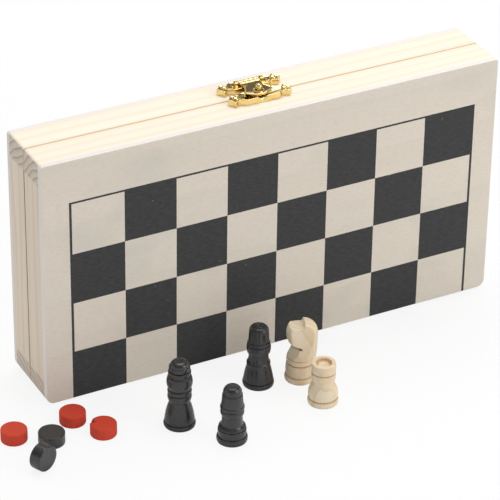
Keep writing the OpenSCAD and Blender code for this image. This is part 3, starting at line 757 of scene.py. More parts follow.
# One ring of a turned piece, with the cuts of a carved band where it lies in one
def ringOf(bm, radius, height, segments, flutes):
    if radius < 1e-5:
        return [bm.verts.new((0, 0, height))]
    depth, count = 0.0, 0
    if flutes and flutes["low"] < height < flutes["high"]:
        rise = math.pi * (height - flutes["low"]) / (flutes["high"] - flutes["low"])
        depth, count = flutes["depth"] * math.sin(rise) ** 0.5, flutes["count"]
    ring = []
    for step in range(segments):
        angle = turnRound * step / segments
        reach = radius - depth * max(0.0, math.cos(count * angle)) ** 2
        ring.append(bm.verts.new((reach * math.cos(angle), reach * math.sin(angle), height)))
    return ring


# Turns a profile of [radius, height] round the z axis. The dark bands give the height and the width of its
# dark cuts, and of a cut in a hollow also the radii that it lies between. On painted men they are painted
# shade, on bare wood burnt lines
def turned(profile, segments=80, burnt=(), rounding=0.12, flutes=None):
    line = eased(profile, rounding)
    bm = bmesh.new()
    burn = bm.verts.layers.float.new("burn")
    wear = bm.verts.layers.float.new("wear")
    rings = []
    for index, (radius, height) in enumerate(line):
        ring = ringOf(bm, radius, height, segments, flutes)
        crest = 0.0
        if 0 < index < len(line) - 1:
            back = Vector(line[index]) - Vector(line[index - 1])
            ahead = Vector(line[index + 1]) - Vector(line[index])
            if back.length > 1e-6 and ahead.length > 1e-6:
                # the sharpness of a crest, from which the paint gets a painted highlight that also stands for
                # wear
                crest = max(0.0, min(1.0, back.angle_signed(ahead) * 2.0))
        dark = 0.0
        for spot, width, *radii in burnt:
            innermost, outermost = radii or (1.0, 99.0)
            if innermost < radius < outermost:
                dark = max(dark, math.exp(-((height - spot) / width) ** 2))
        for vertex in ring:
            vertex[burn] = dark
            vertex[wear] = crest
        rings.append(ring)
    for low, high in zip(rings, rings[1:]):
        for step in range(segments):
            following = (step + 1) % segments
            if len(low) == 1:
                bm.faces.new((low[0], high[following], high[step]))
            elif len(high) == 1:
                bm.faces.new((low[step], low[following], high[0]))
            else:
                bm.faces.new((low[step], low[following], high[following], high[step]))
    return bm


# A closed solid through rings of as many points each, from the bottom up
def lofted(rings):
    bm = bmesh.new()
    loops = [[bm.verts.new(point) for point in ring] for ring in rings]
    bm.faces.new(list(reversed(loops[0])))
    for low, high in zip(loops, loops[1:]):
        for index in range(len(low)):
            following = (index + 1) % len(low)
            bm.faces.new((low[index], low[following], high[following], high[index]))
    bm.faces.new(loops[-1])
    return bm


def moved(bm, *matrices):
    for matrix in matrices:
        bmesh.ops.transform(bm, matrix=matrix, verts=bm.verts)
    return bm


def shifted(x, y, z):
    return Matrix.Translation((x, y, z))


def turnedBy(degrees, axis):
    return Matrix.Rotation(math.radians(degrees), 4, axis)


def joined(parts):
    whole = bmesh.new()
    for part in parts:
        carrier = bpy.data.meshes.new("carrier")
        part.to_mesh(carrier)
        part.free()
        whole.from_mesh(carrier)
        bpy.data.meshes.remove(carrier)
    return whole


# Cuts tools out of a body, both closed
def cutAway(body, *tools):
    draft = placed("cutDraft", finishMesh(body, "cutDraft"))
    cutters = []
    for tool in tools:
        cutter = placed("cutter", finishMesh(tool, "cutter"))
        modifier = draft.modifiers.new("cut", "BOOLEAN")
        modifier.object = cutter
        modifier.operation = "DIFFERENCE"
        modifier.solver = "EXACT"
        cutters.append(cutter)
    mesh = finished(draft)
    for cutter in cutters:
        bpy.data.objects.remove(cutter)
    return reopened(mesh)


# A tree that repeats the modified piece in a row, each copy turned about its own upright axis
def makeRowTree():
    tree = bpy.data.node_groups.new("rowOfPieces", "GeometryNodeTree")
    face = tree.interface
    face.new_socket("Geometry", in_out="INPUT", socket_type="NodeSocketGeometry")
    for label, kind in (("Count", "Int"), ("Start", "Vector"), ("Step", "Vector"), ("Spin", "Float"),
                        ("Seed", "Int"), ("Material", "Material")):
        face.new_socket(label, in_out="INPUT", socket_type="NodeSocket" + kind)
    face.new_socket("Geometry", in_out="OUTPUT", socket_type="NodeSocketGeometry")
    given = tree.nodes.new("NodeGroupInput").outputs
    row = addNode(tree, "GeometryNodeMeshLine", {
        "Count": given["Count"], "Start Location": given["Start"], "Offset": given["Step"]})
    spin = addNode(tree, "FunctionNodeRandomValue", data_type="FLOAT")
    tree.links.new(calc(tree, "MULTIPLY", given["Spin"], -1.0), spin.inputs[2])
    tree.links.new(given["Spin"], spin.inputs[3])
    tree.links.new(given["Seed"], spin.inputs["Seed"])
    angles = addNode(tree, "ShaderNodeCombineXYZ", {"Z": spin.outputs[1]})
    copies = addNode(tree, "GeometryNodeInstanceOnPoints", {
        "Points": row.outputs["Mesh"], "Instance": given["Geometry"], "Rotation": angles.outputs["Vector"]})
    real = addNode(tree, "GeometryNodeRealizeInstances", {"Geometry": copies.outputs["Instances"]})
    skin = addNode(tree, "GeometryNodeSetMaterial", {
        "Geometry": real.outputs["Geometry"], "Material": given["Material"]})
    out = tree.nodes.new("NodeGroupOutput")
    tree.links.new(skin.outputs["Geometry"], out.inputs["Geometry"])
    return tree


rowTree = makeRowTree()


# The mesh of count copies of a template that stands at the origin
def rowOf(template, material, count, start, step, spin=0.0, seed=1):
    draft = placed("rowDraft", template)
    modifier = draft.modifiers.new("row", "NODES")
    modifier.node_group = rowTree
    values = {
        "Count": count, "Start": tuple(value * mm for value in start),
        "Step": tuple(value * mm for value in step), "Spin": spin, "Seed": seed, "Material": material,
    }
    for item in rowTree.interface.items_tree:
        if item.in_out == "INPUT" and item.name in values:
            modifier[item.identifier] = values[item.name]
    return finished(draft)


# Clasp

clasp = {
    "lean": 0.12,  # how far a plate's skirt splays out at the wood
    "rim": 0.5,  # width of the rounded rim of a plate
    "recess": 0.22,  # depth of the flat inside the rim
    "notch": (2.9, 1.1, 0.5),  # half length, drop and depth of the finger notch in a long rim
    # Scallops: how far their middles lie past the plate's end and side, radius, and its growth inwards
    "scallops": ((1.6, 0.1, 4.0, 0.7), (-5.2, 1.6, 3.0, 1.0)),
    "ear": (2.3, 2.5),  # length and width of the blocks beside the barrel
    "earGap": 0.2,
    "windowGap": 0.4,  # round the barrel, in the rear plate
    "barrelHalf": 5.3,  # half the barrel's length
    "barrelRidges": 4,
    "ridgeDepth": 0.08,
    "leaf": 0.7,  # thickness of the hasp's sheet
    "leafLift": 0.3,  # of the leaf over the top of the plates
    "holeGap": 0.5,  # round the ball
    "ring": (0.5, 1.15),  # width and height of the raised ring round the hasp's hole
}

plateLow, plateHigh = cornersOf("clasp_front_plate")
haspLow, haspHigh = cornersOf("clasp_hasp")
studLow, studHigh = cornersOf("clasp_ball_stud")
claspPinLow, claspPinHigh = cornersOf("clasp_pin")
nailLow, nailHigh = cornersOf("clasp_front_nails")
claspX = (plateLow.x + plateHigh.x) / 2
plateLength = plateHigh.x - plateLow.x
plateWidth = plateHigh.y - plateLow.y
plateTop = plateHigh.z
plateHeight = plateHigh.z - plateLow.z
nailHeadR = (nailHigh.y - nailLow.y) / 2
nailX = (nailHigh.x - nailLow.x) / 2 - nailHeadR
pinY = (claspPinLow.y + claspPinHigh.y) / 2
pinZ = (claspPinLow.z + claspPinHigh.z) / 2
pinR = (claspPinHigh.z - claspPinLow.z) / 2
barrelR = haspHigh.y - pinY
studY = (studLow.y + studHigh.y) / 2
ballR = (studHigh.y - studLow.y) / 2
haspHalf = clasp["barrelHalf"]
leafZ = plateTop + clasp["leafLift"]


# Edge of a plate drawn inwards: two scallops lead to the point at each end
def plateOutline(inward):
    halfL, halfW = plateLength / 2, plateWidth / 2
    bites = [(halfL + x, halfW + y, radius + inward * growth) for x, y, radius, growth in clasp["scallops"]]
    places = [0.0, 0.7, 1.3, 1.9, 2.6, 3.6, 5.0, halfL - inward, halfL - inward - 0.12]
    for middle, _, radius in bites:
        places += [middle + radius * math.cos(math.radians(angle)) for angle in range(8, 180, 12)]

    def edge(x):
        y = halfW - inward
        for middle, side, radius in bites:
            if abs(x - middle) < radius:
                y = min(y, side - math.sqrt(radius ** 2 - (x - middle) ** 2))
        return y

    places = sorted((min(max(place, 0.0), halfL - inward) for place in places), reverse=True)
    half = [(x, edge(x)) for x in places]
    half += [(-x, y) for x, y in reversed(half)]
    return relaxed(half + [(x, -y) for x, y in reversed(half)], 1)


def plateShell():
    rim, recess, lean = clasp["rim"], clasp["recess"], clasp["lean"]
    levels = [(0.0, 0.0), (0.02, plateHeight * 0.35), (lean, plateHeight - rim * 1.2)]
    for step in range(1, 7):
        angle = math.pi * 0.62 * step / 6
        levels.append((lean + rim * 0.55 * (1 - math.cos(angle)),
                       plateHeight - rim * 0.55 * (1 - math.sin(angle))))
    levels.append((lean + rim + 0.32, plateHeight - recess))
    shell = lofted([[(x, y, height) for x, y in plateOutline(inward)] for inward, height in levels])
    reach, drop, depth = clasp["notch"]
    for vertex in shell.verts:
        share = max(0.0, 1 - (vertex.co.x / reach) ** 2) ** 2 * (vertex.co.z / plateHeight) ** 3
        rimward = max(0.0, min(1.0, (abs(vertex.co.y) - plateWidth / 2 + 2.0) / 1.2))
        vertex.co.z -= drop * share * rimward
        vertex.co.y -= math.copysign(depth * share * rimward, vertex.co.y)
    return shell


def domeNail():
    rise = nailHigh.z - plateTop + clasp["recess"]
    return turned([(0, 0), (nailHeadR * 0.97, 0)] + dome(nailHeadR, 0.12, rise), 40, rounding=0.08)


# A block with rounded edges, given by its middle and its sizes
def block(middle, sizes, radius=0.35):
    bm = bmesh.new()
    bmesh.ops.create_cube(bm, size=1)
    moved(bm, Matrix.Diagonal((*sizes, 1)))
    bmesh.ops.bevel(bm, geom=bm.edges[:], offset=radius, segments=3, affect="EDGES", profile=0.5)
    return moved(bm, shifted(*middle))


def dressClasp():
    plateY = (plateLow.y + plateHigh.y) / 2
    front = moved(plateShell(), shifted(claspX, plateY, plateLow.z))
    brassPiece("claspFrontPlate", front, "front_half", "clasp_front_plate")

    rearShell = moved(plateShell(), shifted(claspX, pinY, plateLow.z))
    earIn = haspHalf + clasp["earGap"]
    windowSizes = (2 * earIn, 2 * (barrelR + clasp["windowGap"]), plateHeight * 1.6)
    window = block((claspX, pinY, plateTop), windowSizes, 0.3)
    parts = [cutAway(rearShell, window)]
    earLength, earWidth = clasp["ear"]
    for side in (-1, 1):
        middle = earIn + earLength / 2
        parts.append(block((claspX + side * middle, pinY, (plateTop + pinZ + barrelR) / 2 - 0.35),
                           (earLength, earWidth, pinZ + barrelR - plateTop + 0.5), 0.5))
        parts.append(block((claspX + side * (earIn + earLength + 1.1), pinY - 0.3, plateTop),
                           (0.75, 2.2, 0.9), 0.3))
    brassPiece("claspRearPlate", joined(parts), "rear_half", "clasp_rear_plate")

    for side, y, body in (("front", plateY, "front_half"), ("rear", pinY, "rear_half")):
        start = (claspX - nailX, y, plateTop - clasp["recess"])
        heads = rowOf(finishMesh(domeNail(), "domeNail"), brass, 2, start, (2 * nailX, 0, 0))
        newPiece("clasp" + side.capitalize() + "Nails", heads, [brass], body, "brass",
                 "clasp_" + side + "_nails")

    ballZ = studHigh.z - ballR
    collarR, neckR = ballR * 0.95, ballR * 0.62
    neck = [(0, plateTop - 0.1), (collarR, plateTop - 0.1), (collarR, plateTop + 0.15),
            (neckR, plateTop + 0.3), (neckR, ballZ - ballR * 0.8)]
    stud = turned(neck + arc((0, ballZ), ballR, -50, 90, 14), 48, rounding=0.05)
    brassPiece("claspBallStud", moved(stud, shifted(claspX, studY, 0)), "front_half", "clasp_ball_stud", 35)

    start, end = claspPinLow.x, claspPinHigh.x
    pin = turned([(0, start), (pinR, start), (pinR, end), (0, end)], 24, rounding=0.1)
    lying = moved(pin, turnedBy(90, "Y"), shifted(0, pinY, pinZ))
    brassPiece("claspPin", lying, "rear_half", "clasp_pin", 35)
    dressHasp()


# Edge of the leaf drawn inwards: from the barrel it widens to two tips and ends in a round bow
def haspOutline(inward):
    tipX = (haspHigh.x - haspLow.x) / 2
    right = [(0, haspLow.y), (tipX, studY + 0.1), (haspHalf - 0.4, studY + 5.4), (haspHalf, pinY)]
    left = [(-x, y) for x, y in reversed(right[1:])]
    drawn = inset(left + right, inward)
    ring = []
    bows = [(0.1, 6), (0.1, 14), (-1.1, 14), (-1.1, 14), (0.1, 14), (0.1, 6)]
    for index, (height, steps) in enumerate(bows):
        ring += bow(drawn[index], drawn[index + 1], -height, steps)[:-1]
    return relaxed(ring + [drawn[-1]], 2)


def leafSolid():
    thick = clasp["leaf"]
    levels = [(0.25, 0.0), (0.06, 0.1), (0.0, 0.25), (0.0, thick - 0.25), (0.06, thick - 0.1),
              (0.18, thick - 0.02), (0.3, thick), (0.42, thick - 0.02), (0.55, thick - 0.1),
              (0.7, thick - 0.14)]
    return lofted([[(x, y, height) for x, y in haspOutline(inward)] for inward, height in levels])


# A ring of round wire, by the radius of its middle line and half its width and height
def wireRing(middleR, halfWidth, halfHeight, around=56, across=12):
    bm = bmesh.new()
    loops = []
    for step in range(around):
        turn = Matrix.Rotation(turnRound * step / around, 4, "Z")
        loops.append([bm.verts.new(turn @ Vector((
            middleR + halfWidth * math.cos(turnRound * part / across), 0,
            halfHeight + halfHeight * math.sin(turnRound * part / across)))) for part in range(across)])
    for near, far in zip(loops, loops[1:] + loops[:1]):
        for part in range(across):
            following = (part + 1) % across
            bm.faces.new((near[part], far[part], far[following], near[following]))
    return bm


def dressHasp():
    leaf = moved(leafSolid(), shifted(claspX, 0, leafZ))
    holeR = ballR + clasp["holeGap"]
    ringWidth, ringHeight = clasp["ring"]
    hole = moved(turned([(0, -2), (holeR, -2), (holeR, 3), (0, 3)], 48, rounding=0.0001),
                 shifted(claspX, studY, leafZ))
    ring = wireRing(holeR + ringWidth / 2, ringWidth / 2, ringHeight / 2)
    parts = [cutAway(leaf, hole), moved(ring, shifted(claspX, studY, leafZ))]
    steps = clasp["barrelRidges"] * 10
    bore = pinR + 0.05
    profile = [(bore, 0)]
    for step in range(steps + 1):
        swell = abs(math.sin(math.pi * clasp["barrelRidges"] * step / steps)) ** 0.7
        profile.append((barrelR - clasp["ridgeDepth"] * (1 - swell), 2 * haspHalf * step / steps))
    profile += [(bore, 2 * haspHalf), (bore, 0)]
    barrel = turned(profile, 40, rounding=0.01)
    bmesh.ops.remove_doubles(barrel, verts=barrel.verts, dist=0.0005)
    parts.append(moved(barrel, turnedBy(90, "Y"), shifted(claspX - haspHalf, pinY, pinZ)))
    brassPiece("claspHasp", joined(parts), "hasp", "clasp_hasp")


dressClasp()
print("clasp dressed")


# Chessmen: profiles of [radius, height] over a foot of the CAD's own radius

# One line of points out of single points and curves
def stacked(*parts):
    line = []
    for part in parts:
        line += part if isinstance(part, list) else [part]
    return line


def foot(radius, height):
    side = bow((radius - 0.3, 0), (radius - 0.3, height), 0.3, 6)
    return [(0, 0)] + side + [(radius - 0.75, height + 0.22)]


def kingProfile(footR, top):
    return stacked(
        foot(footR, 2.2), (footR - 0.75, 2.5), bow((footR - 0.45, 2.8), (4.95, 12.9), 0.35), (4.85, 14.2),
        bow((5.4, 14.45), (5.5, 17.5), 0.25), (5.05, 17.8), bow((5.5, 18.1), (5.5, 20.1), 0.2), (5.05, 20.4),
        bow((5.4, 20.7), (5.6, 26.9), 0.6), (4.9, 27.4), (4.9, 28.2), bow((5.25, 28.5), (5.2, 29.9), 0.15),
        (4.5, 30.2), bow((4.9, 30.5), (4.9, 32.5), 0.12), (4.6, 32.75),
        bow((4.5, 32.8), (1.1, top - 0.1), 0.9), (0, top))


def queenProfile(footR, top):
    return stacked(
        foot(footR, 2.5), (footR - 0.7, 2.8), bow((footR - 0.35, 3.1), (5.66, 10.6), 0.1), (5.7, 12.5),
        (5.4, 12.8), (5.05, 13.6), (4.8, 15.0), (4.75, 18.0), bow((5.5, 18.25), (5.7, 22.1), 0.25),
        (5.2, 22.4), bow((5.5, 22.7), (5.3, 23.8), 0.1), (4.75, 24.1), bow((5.0, 24.4), (4.6, 30.8), 0.1),
        (4.25, 31.1), bow((4.3, 31.3), (2.1, top - 0.55), 0.45), (2.0, top - 0.45),
        bow((2.0, top - 0.3), (1.4, top - 0.05), 0.12, 4), (1.15, top - 0.1), (0.85, top - 0.5),
        (0, top - 0.55))


def bishopProfile(footR, top):
    return stacked(
        foot(footR, 2.8), (footR - 0.85, 3.1), bow((footR - 0.7, 3.4), (footR - 0.7, 6.7), 0.1), (6.1, 6.9),
        bow((6.3, 7.1), (6.3, 8.0), 0.08, 4), (5.8, 8.4), (5.0, 9.2), (4.8, 14.3),
        bow((5.3, 14.6), (5.3, 17.2), 0.3), (5.0, 17.45), bow((5.6, 17.7), (5.5, 19.3), 0.15),
        (5.2, 19.55), (4.75, 25.2), (4.25, 25.5), (4.2, 26.8), bow((4.4, 27.0), (3.3, top - 0.4), 0.12, 6),
        (2.6, top), (0, top))


def rookProfile(footR, top):
    hollow = 3.9  # radius of the bowl in its top
    return stacked(
        foot(footR, 2.7), (footR - 0.8, 3.05), bow((footR - 0.5, 3.35), (footR - 0.5, 7.2), 0.2),
        (6.5, 8.3), (5.9, 9.6), (5.3, 10.8), (5.05, 11.6), (5.05, 12.5), bow((5.6, 12.7), (5.75, 16.6), 0.15),
        (5.3, 16.95), bow((5.75, 17.25), (5.7, top - 0.2), 0.1), (5.5, top), (hollow, top),
        (hollow - 0.3, top - 0.9), bow((hollow - 0.6, top - 1.3), (0, top - 1.9), -0.1, 6))


def pawnProfile(footR, top):
    return stacked(
        foot(footR, 2.8), bow((footR - 0.4, 3.3), (3.5, 10.0), -0.5), bow((4.0, 10.3), (4.0, 12.6), 0.5),
        (3.0, 12.9), bow((3.1, 13.3), (0.9, top - 0.1), 2.3, 16), (0, top))


# The dark bands of each man are painted shade in the grooves of the black men and burnt lines on the bare
# wood ones
turnedMen = {
    "king": {
        "profile": kingProfile,
        "burnt": ((2.5, 0.35), (14.2, 0.35), (17.8, 0.3), (20.4, 0.3), (27.8, 0.6), (30.2, 0.35)),
    },
    "queen": {
        "profile": queenProfile,
        "burnt": ((2.8, 0.35), (18.0, 0.35), (22.4, 0.35), (24.1, 0.35), (31.1, 0.35)),
        "flutes": {"low": 24.4, "high": 30.8, "count": 12, "depth": 0.5},
    },
    "bishop": {
        "profile": bishopProfile,
        "burnt": ((3.1, 0.35), (6.9, 0.3), (14.4, 0.35), (17.4, 0.35), (26.1, 0.8)),
    },
    "rook": {"profile": rookProfile, "burnt": ((3.05, 0.45), (16.95, 0.45), (20.8, 1.1, 2.6, 4.0))},
    "pawn": {"profile": pawnProfile, "burnt": ((3.1, 0.3), (12.9, 0.3))},
}

# Material, slot and the tray that holds the stored ones
finishes = {
    "black": (blackStain, "black_paint", "front_half"),
    "natural": (bareWood, "bare_wood", "rear_half"),
    "red": (redPaint, "red_paint", "rear_half"),
}


def manMesh(kind, footR, top, segments):
    man = turnedMen[kind]
    body = turned(man["profile"](footR, top), segments, man["burnt"], flutes=man.get("flutes"))
    return finishMesh(body, kind + "Turned", 32)


# The middle of a round piece's foot, its radius and its height
def standing(node):
    low, high = cornersOf(node)
    radius = (high.y - low.y) / 2
    return Vector((low.x + radius, (low.y + high.y) / 2, low.z)), radius, high.z - low.z


def dressLooseMen():
    for node in ("black_king", "black_queen", "black_bishop", "natural_rook"):
        colour, kind = node.split("_")
        place, footR, height = standing(node)
        material, slotName, _ = finishes[colour]
        mesh = manMesh(kind, footR, height, 112)
        mesh.transform(Matrix.Translation(place * mm))
        newPiece(colour + kind.capitalize(), mesh, [material], node, slotName, node)


def dressStoredMen():
    for name, count in (("black_bishop", 1), ("black_rooks", 2), ("black_pawns", 8),
                        ("natural_king", 1), ("natural_queen", 1), ("natural_bishops", 2),
                        ("natural_rook", 1), ("natural_pawns", 8)):
        node = "stored_" + name
        colour, kind = name.rstrip("s").split("_")
        low, high = cornersOf(node)
        place, footR, height = standing(node)
        pitch = (high.x - low.x - 2 * footR) / max(1, count - 1)
        material, slotName, body = finishes[colour]
        mesh = rowOf(manMesh(kind, footR, height, 56), material, count, place, (pitch, 0, 0), math.pi, 7)
        newPiece("stored" + colour.capitalize() + kind.capitalize(), mesh, [material], body, slotName, node)


dressLooseMen()
dressStoredMen()
print("turned chessmen made")


# Knights: a head turned about an axis of its own, then cut with a knife. It faces -X

knight = {
    "footR": 7.4,
    "ringR": 6.5,
    "headR": 7.5,
    "back": 0.6,  # from the foot's axis to the head's
    "headZ": 12.4,
    "thick": 8.7,  # at the forehead
    "lean": 0.1845,  # of the cheeks, sideways over height
    "turn": 0.063,  # of the cheeks, sideways over length
    "forehead": 2.3,  # under the top
    "heading": -20,  # of the one on the table
    "reach": 14.0,  # of the cutting tools
    "smoothing": 5,
}


def cutPlane(bm, spot, normal):
    geometry = bm.verts[:] + bm.edges[:] + bm.faces[:]
    cut = bmesh.ops.bisect_plane(bm, geom=geometry, plane_co=spot, plane_no=normal, clear_outer=True)
    rim = [item for item in cut["geom_cut"] if isinstance(item, bmesh.types.BMEdge)]
    bmesh.ops.holes_fill(bm, edges=rim, sides=0)


# A tool as wide as its reach, through an outline of [x, z]
def knife(outline):
    reach = knight["reach"]
    area = sum(a[0] * b[1] - b[0] * a[1] for a, b in zip(outline, outline[1:] + outline[:1]))
    ordered = outline if area > 0 else list(reversed(outline))
    return moved(lofted([[(x, z, y) for x, z in ordered] for y in (-reach, reach)]), turnedBy(90, "X"))


def cheekPlane(sign, height):
    spot = (0, sign * knight["thick"] / 2, height - knight["forehead"])
    return spot, (-knight["turn"], sign, knight["lean"])


def knightHead(height):
    radius, headZ, reach = knight["headR"], knight["headZ"], knight["reach"]
    neck = knight["ringR"] - knight["back"] - 0.1
    muzzle = knight["back"] - radius
    forehead = height - knight["forehead"]
    profile = stacked(
        (0, headZ - 1), (neck, headZ - 1), (neck, headZ + 0.1), (radius - 0.9, headZ + 0.3),
        bow((radius - 0.55, headZ + 0.6), (radius, headZ + 9), 0.1),
        bow((radius, height - 6.5), (2, height), 1.9, 14), (0, height))
    head = moved(turned(profile, 128), shifted(knight["back"], 0, 0))
    for sign in (-1, 1):
        cutPlane(head, *cheekPlane(sign, height))
    brow = knife([(-reach, forehead), (0.9, forehead), (1.6, height), (1.9, height + 1),
                  (-reach, height + 1)])
    mouth = knife([(0, mouthZ), (muzzle + 2.1, mouthZ + 1.9), (muzzle + 0.7, mouthZ + 2.9),
                   (muzzle - 0.05, mouthZ + 4.6), (-reach, mouthZ + 4.6), (-reach, mouthZ - 5.2),
                   (muzzle + 0.1, mouthZ - 5.2), (muzzle + 2, mouthZ - 1.9)])
    chest = []
    for sign in (-1, 1):
        tool = knife([(-reach, headZ - 2), (4, headZ - 2), (4, mouthZ - 0.4), (-reach, mouthZ - 0.4)])
        cutPlane(tool, (muzzle + 2, 0, mouthZ - 1.9), (0.82, -sign * 0.43, -0.37))
        chest.append(tool)
    return cutAway(head, brow, mouth, *chest)


# Even small faces over the whole head, with the knife's edges worn soft
def wornDown(bm, grain):
    draft = placed("headDraft", finishMesh(bm, "headDraft"))
    remesh = draft.modifiers.new("even", "REMESH")
    remesh.mode = "VOXEL"
    remesh.voxel_size = grain * mm
    smooth = draft.modifiers.new("worn", "SMOOTH")
    smooth.factor = 0.5
    smooth.iterations = knight["smoothing"]
    return reopened(finished(draft))


# local keeps each vertex's place on the knight, from which the bare wood scorches the mouth
def knightMesh(height, segments, grain):
    head = wornDown(knightHead(height), grain)
    footR, ringR, headZ = knight["footR"], knight["ringR"], knight["headZ"]
    profile = stacked(
        foot(footR, 2.7), (footR - 0.8, 3.05), bow((footR - 0.7, 3.3), (footR - 0.8, 9.4), 0.3), (5.9, 9.65),
        bow((ringR - 0.1, 9.9), (ringR, headZ), 0.15), (0, headZ))
    base = turned(profile, segments, ((3.1, 0.45), (9.7, 0.45)))
    whole = joined([base, head])
    spot = whole.verts.layers.float_vector.new("local")
    for vertex in whole.verts:
        vertex[spot] = vertex.co
    return finishMesh(whole, "knightCarved", 40)


def dressKnights():
    low, high = cornersOf("natural_knight")
    height = high.z - low.z
    mesh = knightMesh(height, 112, 0.2)
    place = Vector((low.x + knight["footR"], high.y - knight["footR"], low.z))
    mesh.transform(Matrix.Translation(place * mm) @ turnedBy(knight["heading"], "Z"))
    newPiece("naturalKnight", mesh, [bareWood], "natural_knight", "bare_wood", "natural_knight")
    single = cornersOf("stored_natural_knight")
    for node, count in (("stored_black_knights", 2), ("stored_natural_knight", 1)):
        colour = node.split("_")[1]
        low, high = cornersOf(node)
        pitch = (high.x - low.x) - (single[1].x - single[0].x)
        place = (low.x + knight["footR"], (low.y + high.y) / 2, low.z)
        material, slotName, body = finishes[colour]
        mesh = rowOf(knightMesh(height, 48, 0.4), material, count, place, (pitch, 0, 0))
        newPiece("stored" + colour.capitalize() + "Knight", mesh, [material], body, slotName, node)


dressKnights()
print("knights carved")


# Draughtsmen and dice

draught = {
    "edge": 0.5,  # rounding of the rim
    "chip": {"angle": 138, "size": 2.0, "depth": 0.7},
    "heading": -64.3,  # of the one on its edge, in degrees
}
die = {"round": 0.9, "pipR": 0.8, "pipDepth": 0.3, "spacing": 0.25}


def draughtMesh(radius, thick, segments):
    edge = draught["edge"]
    line = [(0, 0.05), (radius * 0.5, 0.02)]
    line += [(radius - edge - back, 0) for back in (1.4, 1.0, 0.7, 0.4, 0.2, 0.0)]
    line += arc((radius - edge, edge), edge, -90, 0, 5)[1:]
    sides = [(radius, edge + (thick - 2 * edge) * step / 12) for step in range(1, 12)]
    upper = [(r, thick - z) for r, z in reversed(line)]
    return turned(line + sides + upper, segments, rounding=0.05)


def dressDraughts():
    for node in ("red_draught_left", "red_draught_back", "red_draught_right", "black_draught_flat"):
        place, radius, thick = standing(node)
        colour, *words = node.split("_")
        material, slotName, _ = finishes[colour]
        name = colour + "".join(word.capitalize() for word in words)
        bm = draughtMesh(radius, thick, 160)
        if node == "red_draught_right":
            chipRim(bm, radius, thick)
        mesh = finishMesh(moved(bm, shifted(*place)), name, 40)
        newPiece(name, mesh, [material], node, slotName, node)
    _, radius, thick = standing("black_draught_flat")
    low, high = cornersOf("black_draught_on_edge")
    middle = (low + high) / 2
    bm = moved(draughtMesh(radius, thick, 96), shifted(0, 0, -thick / 2), turnedBy(90, "Y"),
               turnedBy(draught["heading"], "Z"), shifted(*middle))
    newPiece("blackDraughtOnEdge", finishMesh(bm, "blackDraughtOnEdge", 40), [blackStain],
             "black_draught_on_edge", "black_paint", "black_draught_on_edge")
    for colour, count in (("black", 13), ("red", 12)):
        node = "stored_" + colour + "_draughts"
        place, radius, height = standing(node)
        material, slotName, body = finishes[colour]
        pitch = (height - thick) / (count - 1)
        template = finishMesh(draughtMesh(radius, thick, 56), "draughtTemplate", 40)
        mesh = rowOf(template, material, count, place, (0, 0, pitch), math.pi, 3)
        newPiece("stored" + colour.capitalize() + "Draughts", mesh, [material], body, slotName, node)


# A knock on the upper rim, coloured dark
def chipRim(bm, radius, thick):
    chip = draught["chip"]
    burn = bm.verts.layers.float["burn"]
    angle = math.radians(chip["angle"])
    outward = Vector((math.cos(angle), math.sin(angle), 0))
    spot = outward * (radius - 0.2) + Vector((0, 0, thick - 0.2))
    pushed = (Vector((0, 0, -1)) - outward).normalized()
    for vertex in bm.verts:
        away = (vertex.co - spot).length
        ragged = 1 + 0.25 * math.sin(vertex.co.x * 5.1 + vertex.co.y * 3.7)
        share = 1 - away / (chip["size"] * ragged)
        if share > 0:
            vertex.co += pushed * chip["depth"] * share ** 0.7
            vertex[burn] = min(1.0, share * 2.5)


def dieMesh(width):
    bm = bmesh.new()
    bmesh.ops.create_cube(bm, size=width)
    bmesh.ops.bevel(bm, geom=bm.edges[:], offset=die["round"], segments=5, affect="EDGES", profile=0.5)
    patterns = {1: [(0, 0)], 2: [(-1, -1), (1, 1)], 3: [(-1, -1), (0, 0), (1, 1)],
                4: [(-1, -1), (-1, 1), (1, -1), (1, 1)], 5: [(-1, -1), (-1, 1), (0, 0), (1, -1), (1, 1)],
                6: [(-1, -1), (-1, 0), (-1, 1), (1, -1), (1, 0), (1, 1)]}
    turns = {1: Matrix.Identity(4), 2: turnedBy(90, "X"), 3: turnedBy(90, "Y"), 4: turnedBy(-90, "Y"),
             5: turnedBy(-90, "X"), 6: turnedBy(180, "X")}
    cutters = []
    pitch = width * die["spacing"]
    for face, spots in patterns.items():
        for x, y in spots:
            cutter = turned([(0, -die["pipDepth"])] + [
                (die["pipR"] * math.sin(math.radians(a)), -die["pipDepth"] * math.cos(math.radians(a)))
                for a in range(15, 91, 15)] + [(die["pipR"], 1), (0, 1)], 20, rounding=0.001)
            cutters.append(moved(cutter, shifted(x * pitch, y * pitch, width / 2), turns[face]))
    carved = cutAway(bm, joined(cutters))
    burn = carved.verts.layers.float.get("burn") or carved.verts.layers.float.new("burn")
    reach = width / 2 - 0.03
    for vertex in carved.verts:
        inFace = sorted(abs(value) for value in vertex.co)
        vertex[burn] = float(inFace[2] < reach and inFace[1] < width / 2 - die["round"])
    return finishMesh(moved(carved, shifted(0, 0, width / 2)), "dieTemplate", 30)


def dressDice():
    low, high = cornersOf("stored_dice")
    width = high.x - low.x
    middle = ((low.x + high.x) / 2, (low.y + high.y) / 2, low.z)
    pitch = high.z - low.z - width
    pair = rowOf(dieMesh(width), bone, 2, middle, (0, 0, pitch))
    newPiece("storedDice", pair, [bone], "front_half", "ivory", "stored_dice")


dressDraughts()
dressDice()
print("draughtsmen and dice made")


# Studio

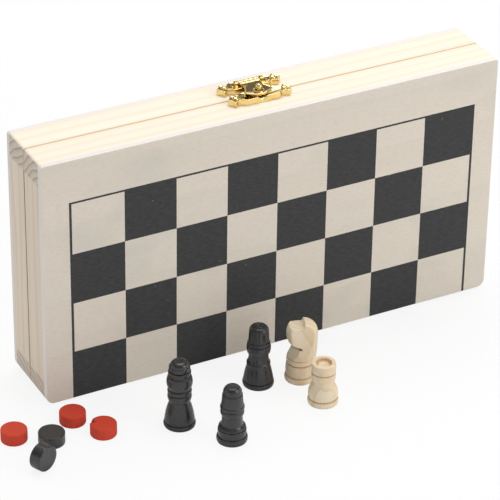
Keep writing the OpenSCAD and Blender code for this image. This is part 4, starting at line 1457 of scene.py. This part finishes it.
studio = {
    "paper": (0.9, 0.9, 0.9),
    "room": 0.55,  # level of the room's light on the object
    # What brass and paint mirror, as (height of the direction, level) from the floor up
    "mirrored": ((0.30, 0.95), (0.40, 0.15), (0.65, 0.18), (0.85, 0.5), (1.0, 0.5)),
    "seeThrough": 0.85,  # share of the white paper behind the floor that the camera sees
    "aim": (0, 0, 0.05),  # m
    "lamps": {  # place in m, size in m and power in watts
        "overhead": {"place": (0.20, 0.38, 1.33), "size": 0.9, "power": 10.0},
        "fill": {"place": (0.57, -0.73, 0.60), "size": 0.6, "power": 3.0},
    },
}


def makeFloor():
    bpy.ops.mesh.primitive_plane_add(size=8)
    floor = bpy.context.object
    floor.name = "floorPaper"
    material, tree, shader = newMaterial("whitePaper")
    plugAll(tree, shader, {"Base Color": studio["paper"], "Roughness": 0.9, "Specular IOR Level": 0.1})
    path = addNode(tree, "ShaderNodeLightPath").outputs
    clear = addNode(tree, "ShaderNodeBsdfTransparent").outputs[0]
    mix = addNode(tree, "ShaderNodeMixShader", {
        0: calc(tree, "MULTIPLY", path["Is Camera Ray"], studio["seeThrough"]),
        1: tree.nodes["Principled BSDF"].outputs[0],
        2: clear,
    }).outputs[0]
    plug(tree, tree.nodes["Material Output"].inputs["Surface"], mix)
    floor.data.materials.append(material)


def makeRoom():
    world = bpy.data.worlds.new("studioRoom")
    world.use_nodes = True
    tree = world.node_tree
    height = axes(tree, addNode(tree, "ShaderNodeTexCoord").outputs["Generated"])["Z"]
    path = addNode(tree, "ShaderNodeLightPath").outputs
    band = addNode(tree, "ShaderNodeValToRGB", {"Fac": height})
    stops = band.color_ramp.elements
    first, *between, last = studio["mirrored"]
    for stop, (position, level) in zip(stops, (first, last)):
        stop.position = position
        stop.color = (level, level, level, 1)
    for position, level in between:
        stops.new(position).color = (level, level, level, 1)
    seen = calc(tree, "MAXIMUM", path["Is Camera Ray"], path["Is Transmission Ray"])
    lit = blendColours(tree, path["Is Glossy Ray"], (studio["room"],) * 3, band.outputs["Color"])
    plug(tree, tree.nodes["Background"].inputs["Color"], blendColours(tree, seen, lit, (1, 1, 1)))
    bpy.context.scene.world = world


def makeLamps():
    for name, look in studio["lamps"].items():
        lamp = bpy.data.lights.new(name + "Softbox", "AREA")
        lamp.energy = look["power"]
        lamp.shape = "SQUARE"
        lamp.size = look["size"]
        holder = placed(name + "Softbox", lamp)
        holder.location = look["place"]
        aim = Vector(studio["aim"]) - holder.location
        holder.rotation_euler = aim.to_track_quat("-Z", "Y").to_euler()


makeFloor()
makeRoom()
makeLamps()
bpy.context.scene.view_settings.view_transform = "Standard"
print("studio set")
